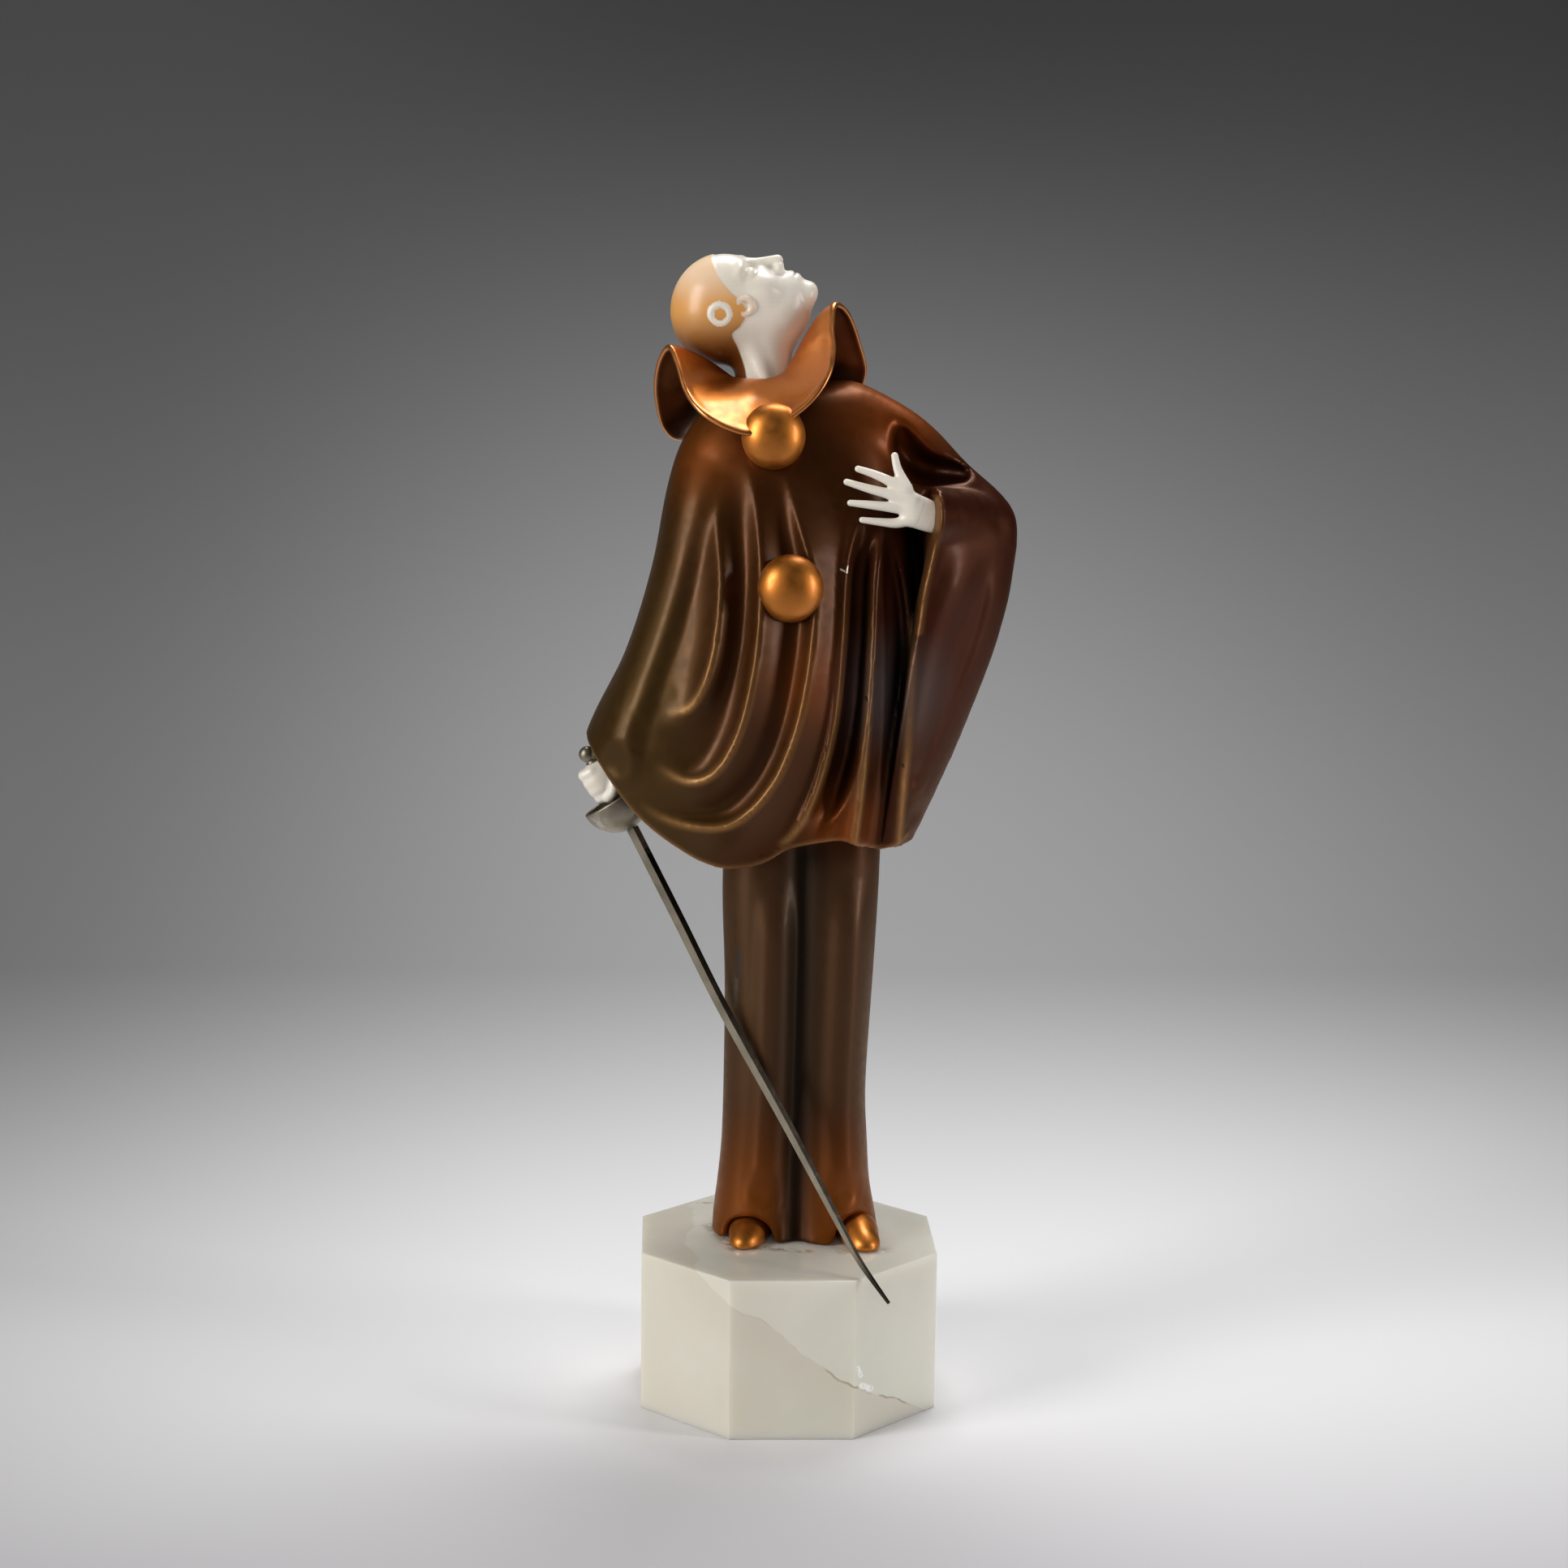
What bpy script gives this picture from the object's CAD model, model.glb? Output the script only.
# %% [markdown]
# # A swordsman in bronze, ivory and onyx
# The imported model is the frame: it fixes the size and the place of every piece. This lesson dresses it. Each piece is
# made again with finer carving in the same place, gets its finish, and then stands for its plain solid.

# %% Load the frame
import math

import bpy
import numpy as np
from mathutils import Matrix, Vector


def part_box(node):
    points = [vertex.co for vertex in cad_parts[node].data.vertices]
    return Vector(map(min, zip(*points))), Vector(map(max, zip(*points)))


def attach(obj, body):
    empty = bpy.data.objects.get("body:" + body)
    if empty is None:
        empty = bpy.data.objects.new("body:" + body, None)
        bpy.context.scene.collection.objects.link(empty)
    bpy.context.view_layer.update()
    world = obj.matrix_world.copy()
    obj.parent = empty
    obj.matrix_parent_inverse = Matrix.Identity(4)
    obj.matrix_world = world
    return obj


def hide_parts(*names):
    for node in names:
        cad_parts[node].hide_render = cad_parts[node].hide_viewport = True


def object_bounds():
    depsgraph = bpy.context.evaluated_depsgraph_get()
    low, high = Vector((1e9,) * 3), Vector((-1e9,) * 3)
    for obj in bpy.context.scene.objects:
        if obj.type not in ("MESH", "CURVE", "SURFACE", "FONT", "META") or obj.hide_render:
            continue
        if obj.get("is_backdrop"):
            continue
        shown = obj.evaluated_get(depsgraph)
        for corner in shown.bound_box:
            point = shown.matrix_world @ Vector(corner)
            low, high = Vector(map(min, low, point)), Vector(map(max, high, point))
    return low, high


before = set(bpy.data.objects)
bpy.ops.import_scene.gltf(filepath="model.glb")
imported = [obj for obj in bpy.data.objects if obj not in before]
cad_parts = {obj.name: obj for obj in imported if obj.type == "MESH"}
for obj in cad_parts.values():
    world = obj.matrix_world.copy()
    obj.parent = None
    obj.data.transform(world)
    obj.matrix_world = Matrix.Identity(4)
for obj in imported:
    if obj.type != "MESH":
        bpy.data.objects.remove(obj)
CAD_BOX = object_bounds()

MM = 0.001
print("frame box, mm:", [[round(v / MM, 1) for v in corner] for corner in CAD_BOX])

# %% [markdown]
# ## Camera
# The photographer stood a little to the object's left and looked down on it from slightly above, with a long lens. The
# place was worked out from the corners of the plinth, so the render can be laid over the photograph.

# %% Camera
AIM = Vector((-2.762, 0, 195.019)) * MM
CAMERA_DISTANCE = 920.74 * MM
CAMERA_ELEVATION = math.radians(9.2269)
CAMERA_AZIMUTH = math.radians(-2.1904)
CAMERA_ROLL = math.radians(0.6878)
SENSOR = 36
FOCAL_PIXELS = 3666.67
PHOTO_PIXELS = 1932

backwards = Vector((
    math.sin(CAMERA_AZIMUTH) * math.cos(CAMERA_ELEVATION),
    -math.cos(CAMERA_AZIMUTH) * math.cos(CAMERA_ELEVATION),
    math.sin(CAMERA_ELEVATION),
))
level = backwards.cross(Vector((0, 0, -1))).normalized()
upright = backwards.cross(level)
right = level * math.cos(CAMERA_ROLL) + upright * math.sin(CAMERA_ROLL)
up = upright * math.cos(CAMERA_ROLL) - level * math.sin(CAMERA_ROLL)

camera = bpy.data.objects.new("camera", bpy.data.cameras.new("camera"))
camera.data.sensor_width = SENSOR
camera.data.lens = FOCAL_PIXELS / PHOTO_PIXELS * SENSOR
camera.data.clip_start = 0.05
turned_to = Matrix((right, up, backwards)).transposed().to_4x4()
camera.matrix_world = Matrix.Translation(AIM + backwards * CAMERA_DISTANCE) @ turned_to
bpy.context.scene.collection.objects.link(camera)
bpy.context.scene.camera = camera
print("camera at", [round(v, 4) for v in camera.matrix_world.translation], "lens", round(camera.data.lens, 2))

# %% [markdown]
# ## Shapes as fields
# Cast bronze and carved ivory have no seams: one form runs into the next. That is hard to build from patches, so each
# form here is a field, a function that is negative inside and grows to about the distance outside. Two fields join with
# a rounded groove between them, and one can be carved out of another.

# %% Curves and fields
def ease(start, end, value):
    t = np.clip((value - start) / (end - start), 0, 1)
    return t * t * (3 - 2 * t)


def track(knots):
    """A smooth function through [place, value] knots."""
    t, v = np.array(knots, float).T
    before = np.maximum(np.arange(len(t)) - 1, 0)
    after = np.minimum(np.arange(len(t)) + 1, len(t) - 1)
    slope = (v[after] - v[before]) / (t[after] - t[before])

    def value(place):
        place = np.clip(place, t[0], t[-1])
        i = np.clip(np.searchsorted(t, place, side="right") - 1, 0, len(t) - 2)
        h = t[i + 1] - t[i]
        s = (place - t[i]) / h
        turn = slope[i] * (s**3 - 2 * s**2 + s) + slope[i + 1] * (s**3 - s**2)
        return v[i] * (2 * s**3 - 3 * s**2 + 1) + v[i + 1] * (3 * s**2 - 2 * s**3) + h * turn

    return value


def merge(a, b, soft):
    """Two fields joined, with a rounded groove about soft wide."""
    h = np.clip(0.5 + 0.5 * (b - a) / soft, 0, 1)
    return b + (a - b) * h - soft * h * (1 - h)


def within(a, b, soft):
    """What lies in both fields, with a rounded edge."""
    return -merge(-a, -b, soft)


def carve(a, b, soft):
    """The first field with the second taken out of it."""
    return -merge(-a, b, soft)


def oval(dx, dy, half_x, half_y, power):
    """Signed distance to a superellipse, to first order."""
    u = np.abs(dx / half_x) + 1e-9
    v = np.abs(dy / half_y) + 1e-9
    rho = (u**power + v**power) ** (1 / power)
    gx = (u / rho) ** (power - 1) / half_x
    gy = (v / rho) ** (power - 1) / half_y
    return (rho - 1) / np.sqrt(gx * gx + gy * gy)


def egg(x, y, z, centre, radii):
    """Signed distance to an ellipsoid, to first order."""
    p = [(v - c) for v, c in zip((x, y, z), centre)]
    k = np.sqrt(sum((v / r) ** 2 for v, r in zip(p, radii))) + 1e-9
    g = np.sqrt(sum((v / r**2) ** 2 for v, r in zip(p, radii))) + 1e-9
    return k * (k - 1) / g


def limb(x, y, z, stations, deep=1.0):
    """A round limb through stations [x, y, z, radius]. deep stretches its section along y."""
    whole = np.inf
    line = smooth_line(stations, 5 if len(stations) > 2 else 1)
    for (ax, ay, az, ar), (bx, by, bz, br) in zip(line, line[1:]):
        dx, dy, dz = bx - ax, by - ay, bz - az
        t = ((x - ax) * dx + (y - ay) * dy + (z - az) * dz) / (dx * dx + dy * dy + dz * dz + 1e-9)
        t = np.clip(t, 0, 1)
        away = np.sqrt((x - ax - t * dx) ** 2 + ((y - ay - t * dy) / deep) ** 2 + (z - az - t * dz) ** 2)
        whole = np.minimum(whole, away - ar - t * (br - ar))
    return whole


def smooth_line(points, steps=8):
    """A smooth curve through points, as short straight steps."""
    p = np.array(points, float)
    p = np.vstack([p[0], p, p[-1]])
    t = (np.arange(steps) / steps)[:, None]
    runs = [
        0.5 * (2 * b + (c - a) * t + (2 * a - 5 * b + 4 * c - d) * t**2 + (3 * b - a - 3 * c + d) * t**3)
        for a, b, c, d in zip(p, p[1:], p[2:], p[3:])
    ]
    return np.vstack(runs + [p[-1:]])


def line_distance(line, u, v):
    """How far points (u, v) lie from a line, positive on its right hand, and how far along it from 0 to 1."""
    best = np.full(np.broadcast(u, v).shape, 1e9)
    side = np.zeros_like(best)
    along = np.zeros_like(best)
    for i, ((au, av), (bu, bv)) in enumerate(zip(line, line[1:])):
        du, dv = bu - au, bv - av
        t = np.clip(((u - au) * du + (v - av) * dv) / (du * du + dv * dv), 0, 1)
        away = np.hypot(u - au - t * du, v - av - t * dv)
        nearer = away < best
        best = np.where(nearer, away, best)
        side = np.where(nearer, -np.sign(du * (v - av) - dv * (u - au)), side)
        along = np.where(nearer, (i + t) / (len(line) - 1), along)
    return best * side, along


# %% [markdown]
# A field becomes a mesh by laying a grid over it. Every grid cell that the surface crosses gets one point, every grid
# edge that it crosses gets one square face, and the points then slide onto the surface itself. The result is closed,
# even and free of poles, which suits soft metal and ivory.

# %% Skin of a field
BLOCK = 5  # grid points along the edge of one block


def near_field(field, axes, cell):
    """The field on a grid. A block far from the surface gets one value for all its points, which saves much work."""
    middles = [a.reshape(-1, BLOCK).mean(1) for a in axes]
    rough = field(middles[0][:, None, None], middles[1][None, :, None], middles[2][None, None, :])
    rough = np.broadcast_to(rough, [len(m) for m in middles])
    grid = np.repeat(np.repeat(np.repeat(rough, BLOCK, 0), BLOCK, 1), BLOCK, 2)
    blocks = np.argwhere(np.abs(rough) < BLOCK * cell * 1.75)
    inner = np.stack(np.meshgrid(*[np.arange(BLOCK)] * 3, indexing="ij"), -1).reshape(1, -1, 3)
    for some in np.array_split(blocks, max(1, len(blocks) // 2000)):
        index = (some[:, None] * BLOCK + inner).reshape(-1, 3).T
        grid[tuple(index)] = field(*(axis[i] for axis, i in zip(axes, index)))
    return grid


def skin(field, low, high, cell, rounds=3):
    """Points and square faces on the surface of a field, and their normals."""
    axes = [a + cell * np.arange(BLOCK * math.ceil((b - a) / cell / BLOCK)) for a, b in zip(low, high)]
    grid = near_field(field, axes, cell)
    cells = [n - 1 for n in grid.shape]
    total = np.zeros((3, math.prod(cells)))
    count = np.zeros(math.prod(cells))
    rims = []
    for axis in range(3):
        step = [slice(None)] * 3
        back = [slice(None)] * 3
        step[axis], back[axis] = slice(1, None), slice(None, -1)
        a, b = grid[tuple(back)], grid[tuple(step)]
        start = np.argwhere((a < 0) != (b < 0))
        va, vb = a[tuple(start.T)], b[tuple(start.T)]
        crossing = start.astype(float)
        crossing[:, axis] += va / (va - vb)
        u, v = (axis + 1) % 3, (axis + 2) % 3
        corners = []
        for du, dv in ((0, 0), (1, 0), (1, 1), (0, 1)):
            at = start.copy()
            at[:, u] -= du
            at[:, v] -= dv
            flat = np.ravel_multi_index(at.T, cells)
            corners.append(flat)
            count += np.bincount(flat, minlength=count.size)
            for k in range(3):
                total[k] += np.bincount(flat, crossing[:, k], minlength=count.size)
        face = np.stack(corners, 1)
        rims.append(np.where((va < 0)[:, None], face, face[:, ::-1]))
    used = np.flatnonzero(count)
    number = np.full(count.size, -1)
    number[used] = np.arange(used.size)
    points = (total[:, used] / count[used]).T * cell + np.array([a[0] for a in axes])
    faces = number[np.vstack(rims)]
    for i in range(rounds):
        if i:
            points = points + 0.5 * (neighbour_mean(points, faces) - points)
        for _ in range(2):
            points = points - settle(field, points, cell)
    return points, faces


def neighbour_mean(points, faces):
    """The middle of each point's neighbours along the edges of the faces."""
    a = faces.ravel()
    b = np.roll(faces, -1, axis=1).ravel()

    def gathered(ends, values=None):
        return np.bincount(ends, values, minlength=len(points))

    sums = [gathered(a, points[b, k]) + gathered(b, points[a, k]) for k in range(3)]
    return np.stack(sums, 1) / (gathered(a) + gathered(b))[:, None]


def gradient(field, points, step=0.05):
    """How fast the field grows along each axis at these points."""
    sides = []
    for axis in range(3):
        shift = np.zeros(3)
        shift[axis] = step
        ahead, behind = (points + shift).T, (points - shift).T
        sides.append((field(*ahead) - field(*behind)) / (2 * step))
    return np.stack(sides, 1)


def settle(field, points, cell):
    """The move that brings points near the surface onto it."""
    slope = gradient(field, points)
    move = field(*points.T)[:, None] * slope / (np.sum(slope**2, 1) + 1e-6)[:, None]
    return np.clip(move, -0.5 * cell, 0.5 * cell)


def shelter(field, points, reaches=(2, 4, 7, 11)):
    """0 where a surface lies open and near 1 in the depth of a hollow."""
    slope = gradient(field, points)
    normal = slope / np.linalg.norm(slope, axis=1)[:, None]
    return sum(np.clip(1 - field(*(points + normal * d).T) / d, 0, 2) / 2 for d in reaches) / len(reaches)


# %% [markdown]
# Every piece ends the same way: a mesh with its place in its points, smooth shading, the values that its finish reads,
# and the names that tie it to the frame.

# %% Make a piece
def box_of(name):
    """The low and high corner of a solid of the frame, in mm."""
    return [np.array(corner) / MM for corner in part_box(name)]


def piece(name, points, faces, material, nodes, values):
    """A mesh object from points in mm, with a value per point for each name in values."""
    mesh = bpy.data.meshes.new(name)
    mesh.from_pydata((np.asarray(points) * MM).tolist(), [], np.asarray(faces).tolist())
    mesh.validate()
    for key, value in values.items():
        mesh.attributes.new(key, "FLOAT", "POINT").data.foreach_set("value", np.asarray(value, np.float32))
    mesh.shade_smooth()
    mesh.materials.append(material)
    made = bpy.data.objects.new(name, mesh)
    bpy.context.scene.collection.objects.link(made)
    return dress(made, nodes)


def dress(made, nodes):
    """Ties a finished object to the frame: what it rides on, which solids it stands for."""
    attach(made, "root")
    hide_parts(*nodes)
    made.data.calc_loop_triangles()
    print(made.name, len(made.data.loop_triangles), "triangles")
    return made


# %% [markdown]
# ## Finishes
# Each finish is a node material. Its colour and roughness read values that the pieces carry on their points, such as
# how sheltered a place is, so that wear sits on the crests and dark wax in the hollows, as on real patinated bronze.

# %% Node helpers
def finish(name, **settings):
    """A material with a Principled shader, and its nodes."""
    material = bpy.data.materials.new(name)
    material.use_nodes = True
    shader = material.node_tree.nodes["Principled BSDF"]
    for key, value in settings.items():
        shader.inputs[key.replace("_", " ").title().replace("Ior", "IOR")].default_value = value
    return material, material.node_tree, shader


def fill(socket, value):
    """Links a socket to another one or sets it to a value. None leaves it as it is."""
    if isinstance(value, bpy.types.NodeSocket):
        socket.id_data.links.new(value, socket)
    elif value is not None:
        socket.default_value = value


def node(tree, kind, **settings):
    """One node. A small key names a setting, a capital one a socket, and in_0 is the first socket."""
    made = tree.nodes.new(kind)
    for key, value in settings.items():
        if key.startswith("in_"):
            fill(made.inputs[int(key.removeprefix("in_"))], value)
        elif key[0].isupper():
            fill(made.inputs[key.replace("_", " ")], value)
        else:
            setattr(made, key, value)
    return made


def value_of(tree, name):
    """The values that a piece carries under this name."""
    return node(tree, "ShaderNodeAttribute", attribute_name=name).outputs["Fac"]


def place_on_object(tree):
    return node(tree, "ShaderNodeTexCoord").outputs["Object"]


def xyz(tree):
    """The three coordinates of a place on the object, in metres."""
    return node(tree, "ShaderNodeSeparateXYZ", in_0=place_on_object(tree)).outputs


def noise(tree, scale, detail=4.0, roughness=0.55):
    """Cloudy noise from 0 to 1. scale is in clouds per metre."""
    place = place_on_object(tree)
    made = node(tree, "ShaderNodeTexNoise", Scale=scale, Detail=detail, Roughness=roughness, Vector=place)
    return made.outputs["Fac"]


def scaled(value, low, high, to_low=0.0, to_high=1.0, smooth=True):
    """A value between low and high, brought to another range and held at its ends."""
    kind = "SMOOTHSTEP" if smooth else "LINEAR"
    ends = {"From_Min": low, "From_Max": high, "To_Min": to_low, "To_Max": to_high}
    return node(value.id_data, "ShaderNodeMapRange", interpolation_type=kind, Value=value, **ends).outputs["Result"]


def computed(operation, a, b=None):
    """One step of arithmetic on two sockets, or on a socket and a number."""
    tree = next(v.id_data for v in (a, b) if isinstance(v, bpy.types.NodeSocket))
    return node(tree, "ShaderNodeMath", operation=operation, in_0=a, in_1=b).outputs[0]


def times(a, b):
    return computed("MULTIPLY", a, b)


def plus(a, b):
    return computed("ADD", a, b)


def minus(a, b):
    return computed("SUBTRACT", a, b)


def mixed(share, a, b):
    """Colour a turning into colour b as share goes from 0 to 1."""
    made = node(share.id_data, "ShaderNodeMix", data_type="RGBA")
    for socket, value in zip((made.inputs[0], made.inputs[6], made.inputs[7]), (share, a, b)):
        fill(socket, (*value, 1.0) if isinstance(value, tuple) else value)
    return made.outputs[2]


def cover(shader, colour, rough=None, relief=None, depth=0.0, strength=1.0):
    """Gives a shader its colour, its roughness and fine relief, depth metres deep, in the shading only."""
    fill(shader.inputs["Base Color"], colour)
    fill(shader.inputs["Roughness"], rough)
    if relief is not None:
        bump = node(shader.id_data, "ShaderNodeBump", Height=relief, Distance=depth, Strength=strength)
        fill(shader.inputs["Normal"], bump.outputs["Normal"])


# %% Colour at places
def near(tree, centre, reach):
    """1 at a place, given in mm, and 0 from reach away from it."""
    place, centre = place_on_object(tree), Vector(centre) * MM
    away = node(tree, "ShaderNodeVectorMath", operation="DISTANCE", in_0=place, in_1=centre)
    return scaled(away.outputs["Value"], reach * MM, 0)


def stroke(tree, start, end, width, place=None, softness=0.5):
    """1 on a stroke of this width across the front, from start to end as (x, z) in mm, and 0 beside it."""
    a = Vector((start[0], 0, start[1])) * MM
    d = Vector((end[0], 0, end[1])) * MM - a

    def vectors(operation, first, second):
        return node(tree, "ShaderNodeVectorMath", operation=operation, in_0=first, in_1=second).outputs

    flat = vectors("MULTIPLY", place or place_on_object(tree), (1, 0, 1))[0]
    away = vectors("SUBTRACT", flat, a)[0]
    along = scaled(vectors("DOT_PRODUCT", away, d / d.length_squared)["Value"], 0, 1, smooth=False)
    foot = node(tree, "ShaderNodeVectorMath", operation="SCALE", in_0=d, Scale=along).outputs[0]
    gap = vectors("DISTANCE", away, foot)["Value"]
    return scaled(gap, (0.5 + softness / 2) * width * MM, (0.5 - softness / 2) * width * MM)


# %% [markdown]
# The bronze is brown, redder on the bent arm's side and olive on the other. It turns orange where hands have rubbed it
# and copper at the foot, wax darkens its hollows, and bare metal shines through along the crests of the folds.

# %% Patinated bronze
PATINA = (0.054, 0.0155, 0.003)
PATINA_RED = (0.048, 0.009, 0.0035)
PATINA_OLIVE = (0.056, 0.028, 0.007)
PATINA_ORANGE = (0.30, 0.06, 0.003)
PATINA_DEEP = (0.003, 0.0014, 0.001)
PATINA_WORN = (0.50, 0.25, 0.085)
PATINA_HAZE = (0.09, 0.055, 0.03)
PATINA_BLOOM = (0.11, 0.10, 0.10)
COPPER_GLOW = (0.22, 0.055, 0.005)
# Rubbed places: middle and reach in mm, and how orange each is.
ORANGE_PLACES = [
    ((26, 0, 312), 34, 0.9), ((-30, -14, 300), 26, 0.5), ((14, -22, 186), 18, 0.6), ((4, -28, 230), 22, 0.25),
]
BLOOM_MIDDLE, BLOOM_REACH, BLOOM_SHARE = (27, -22, 228), 26, 0.6
LEG_TOPS, LEG_FEET, GLOW_HEIGHTS = (0.178, 0.165), (0.075, 0.11), (0.1, 0.056)  # where a tint fades in, in metres
SEAM_TOP, SEAM_FOOT, SEAM_WIDTH = (3.2, 172), (1.6, 52), 11  # the dark line between the legs, (x, z) in mm
# Marks of use on the front, from (x, z) to (x, z), how wide, and of what colour.
PALE_MARK, BLACK_MARK = (0.75, 0.66, 0.58), (0.02, 0.01, 0.008)
SCRATCHES = [
    ((12.2, 264.2), (14.2, 263.3), 0.5, PALE_MARK), ((14.1, 263.3), (14.3, 265.2), 0.45, PALE_MARK),
    ((-16.4, 143.5), (-16.9, 134), 1.7, (0.05, 0.042, 0.036)), ((-16.9, 134), (-17.4, 125.3), 1.3, (0.09, 0.07, 0.055)),
    ((32.0, 205.3), (32.3, 204.4), 0.8, BLACK_MARK), ((20.3, 226.2), (20.5, 225.4), 0.7, BLACK_MARK),
]


def patinated(name):
    material, tree, shader = finish(name, metallic=0.5, roughness=0.42, specular_ior_level=0.32,
                                    specular_tint=(1, 0.72, 0.45, 1), coat_weight=0.08, coat_roughness=0.18)
    x, y, z = xyz(tree)
    cloudy = noise(tree, 22, 3)
    across = plus(x, times(minus(cloudy, 0.5), 0.05))
    colour = mixed(scaled(across, 0.0, 0.045), PATINA, PATINA_RED)
    colour = mixed(scaled(across, -0.008, -0.045), colour, PATINA_OLIVE)
    for middle, reach, share in ORANGE_PLACES:
        glow = times(near(tree, middle, reach), scaled(cloudy, 0.25, 0.6, 0.5 * share, share))
        colour = mixed(glow, colour, PATINA_ORANGE)
    colour = mixed(times(near(tree, BLOOM_MIDDLE, BLOOM_REACH), BLOOM_SHARE), colour, PATINA_BLOOM)
    colour = mixed(times(scaled(z, *LEG_TOPS), scaled(z, *LEG_FEET, 0, 0.4)), colour, PATINA_HAZE)
    colour = mixed(scaled(z, *GLOW_HEIGHTS, 0, 0.75), colour, COPPER_GLOW)
    colour = mixed(scaled(noise(tree, 45, 5), 0.5, 0.78, 0, 0.12), colour, PATINA_HAZE)
    hollow = value_of(tree, "shelter")
    colour = mixed(scaled(hollow, 0.17, 0.44, 0, 0.94), colour, PATINA_DEEP)
    gap, worn = value_of(tree, "gap"), value_of(tree, "worn")
    patchy = times(worn, scaled(noise(tree, 120, 4), 0.35, 0.6, 0.3, 1))
    colour = mixed(times(scaled(gap, 2.2, 0.2, 0, 0.3), worn), colour, PATINA_WORN)
    colour = mixed(times(scaled(gap, 1.0, 0.1, 0, 0.26), patchy), colour, PATINA_WORN)
    seam = times(stroke(tree, SEAM_TOP, SEAM_FOOT, SEAM_WIDTH, softness=1), scaled(y, 0.0, -0.002, 0, 0.95))
    colour = mixed(seam, colour, PATINA_DEEP)
    for start, end, width, tint in SCRATCHES:
        mark = times(stroke(tree, start, end, width), scaled(noise(tree, 1400, 3), 0.3, 0.5))
        colour = mixed(times(mark, scaled(y, 0.002, 0.0, 0, 0.9)), colour, tint)
    rough = plus(scaled(noise(tree, 300, 5), 0.3, 0.7, 0.37, 0.47), scaled(hollow, 0.3, 0.6, 0, 0.2))
    cover(shader, colour, rough, noise(tree, 500, 4), 0.00004, 0.25)
    return material


bronze = patinated("bronze_patina")
print(bronze.name, "has", len(bronze.node_tree.nodes), "nodes")

# %% Copper and gilt
COPPER = (0.68, 0.215, 0.03)
COPPER_DARK = (0.03, 0.009, 0.004)
COPPER_PALE = (0.86, 0.47, 0.25)
GILT = (0.62, 0.215, 0.032)
GILT_DARK = (0.20, 0.065, 0.018)


def coppered(name, base, dark, roughness, coat):
    material, tree, shader = finish(name, metallic=0.92, roughness=roughness, coat_weight=coat, coat_roughness=0.14)
    colour = mixed(scaled(noise(tree, 30, 2), 0.4, 0.75, 0, 0.2), base, dark)
    colour = mixed(scaled(value_of(tree, "shelter"), 0.25, 0.6, 0, 0.85), colour, dark)
    colour = mixed(times(value_of(tree, "crest"), 0.15), colour, COPPER_PALE)
    specks = scaled(noise(tree, 1700, 1), 0.76, 0.8)
    colour = mixed(times(specks, 0.45), colour, dark)
    rough = scaled(noise(tree, 260, 5), 0.3, 0.7, roughness - 0.05, roughness + 0.1)
    cover(shader, colour, rough, noise(tree, 1100, 3), 0.00004, 0.3)
    return material


copper = coppered("bronze_copper", COPPER, COPPER_DARK, 0.33, 0.6)
gilt = coppered("bronze_gilt", GILT, GILT_DARK, 0.42, 0.25)
print("two more finishes:", copper.name, "and", gilt.name)

# %% [markdown]
# Ivory lets some light in and has fine rings of growth. Its cap is stained amber, palest on top. The silver lost its
# shine to brown tarnish.

# %% Ivory
IVORY = (0.84, 0.79, 0.70)
IVORY_CREAM = (0.70, 0.60, 0.44)
IVORY_SHADE = (0.33, 0.2, 0.1)
STAIN_PALE = (0.86, 0.62, 0.41)
STAIN = (0.72, 0.35, 0.10)
STAIN_DARK = (0.16, 0.045, 0.006)

ivory, tree, shader = finish("ivory", roughness=0.36, subsurface_weight=0.25, subsurface_scale=0.002,
                             subsurface_radius=(1.0, 0.6, 0.35), coat_weight=0.2, coat_roughness=0.2)
grain = node(tree, "ShaderNodeTexWave", wave_type="RINGS", rings_direction="SPHERICAL",
             Scale=240, Distortion=3, Detail=3, Vector=place_on_object(tree))
colour = mixed(scaled(noise(tree, 60, 4), 0.4, 0.75, 0, 0.4), IVORY, IVORY_CREAM)
colour = mixed(times(grain.outputs["Fac"], 0.07), colour, IVORY_CREAM)
colour = mixed(scaled(value_of(tree, "shelter"), 0.3, 0.7, 0, 0.75), colour, IVORY_SHADE)
depth = value_of(tree, "depth")
stain = mixed(scaled(depth, 0.4, 1.0), mixed(scaled(depth, 0.0, 0.45), STAIN_PALE, STAIN), STAIN_DARK)
cover(shader, mixed(value_of(tree, "stain"), colour, stain), None, noise(tree, 700, 3), 0.00003, 0.3)

# %% Aged silver
SILVER = (0.33, 0.29, 0.22)
SILVER_DARK = (0.012, 0.009, 0.006)
SILVER_BLOOM = (0.60, 0.58, 0.52)
BRIGHT_SPOT, SPOT_REACH = (-61, -7, 182), 6  # on the outside of the cup, in mm

silver, tree, shader = finish("silver", metallic=0.9, roughness=0.36)
colour = mixed(scaled(noise(tree, 60, 5), 0.4, 0.7, 0, 0.4), SILVER, SILVER_DARK)
spot = times(near(tree, BRIGHT_SPOT, SPOT_REACH), scaled(noise(tree, 500, 5), 0.42, 0.58))
colour = mixed(value_of(tree, "tarnish"), mixed(spot, colour, SILVER_BLOOM), SILVER_DARK)
rough = scaled(noise(tree, 420, 6), 0.4, 0.68, 0.36, 0.5)
cover(shader, colour, rough, noise(tree, 900, 4), 0.00005, 0.35)

# %% [markdown]
# Onyx is cloudy and lets light deep in. One vein crosses the block and falls to the right, with beige stone below it, a
# thin brown thread along it and two bright flaws. Old glue marks the top round the feet.

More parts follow.
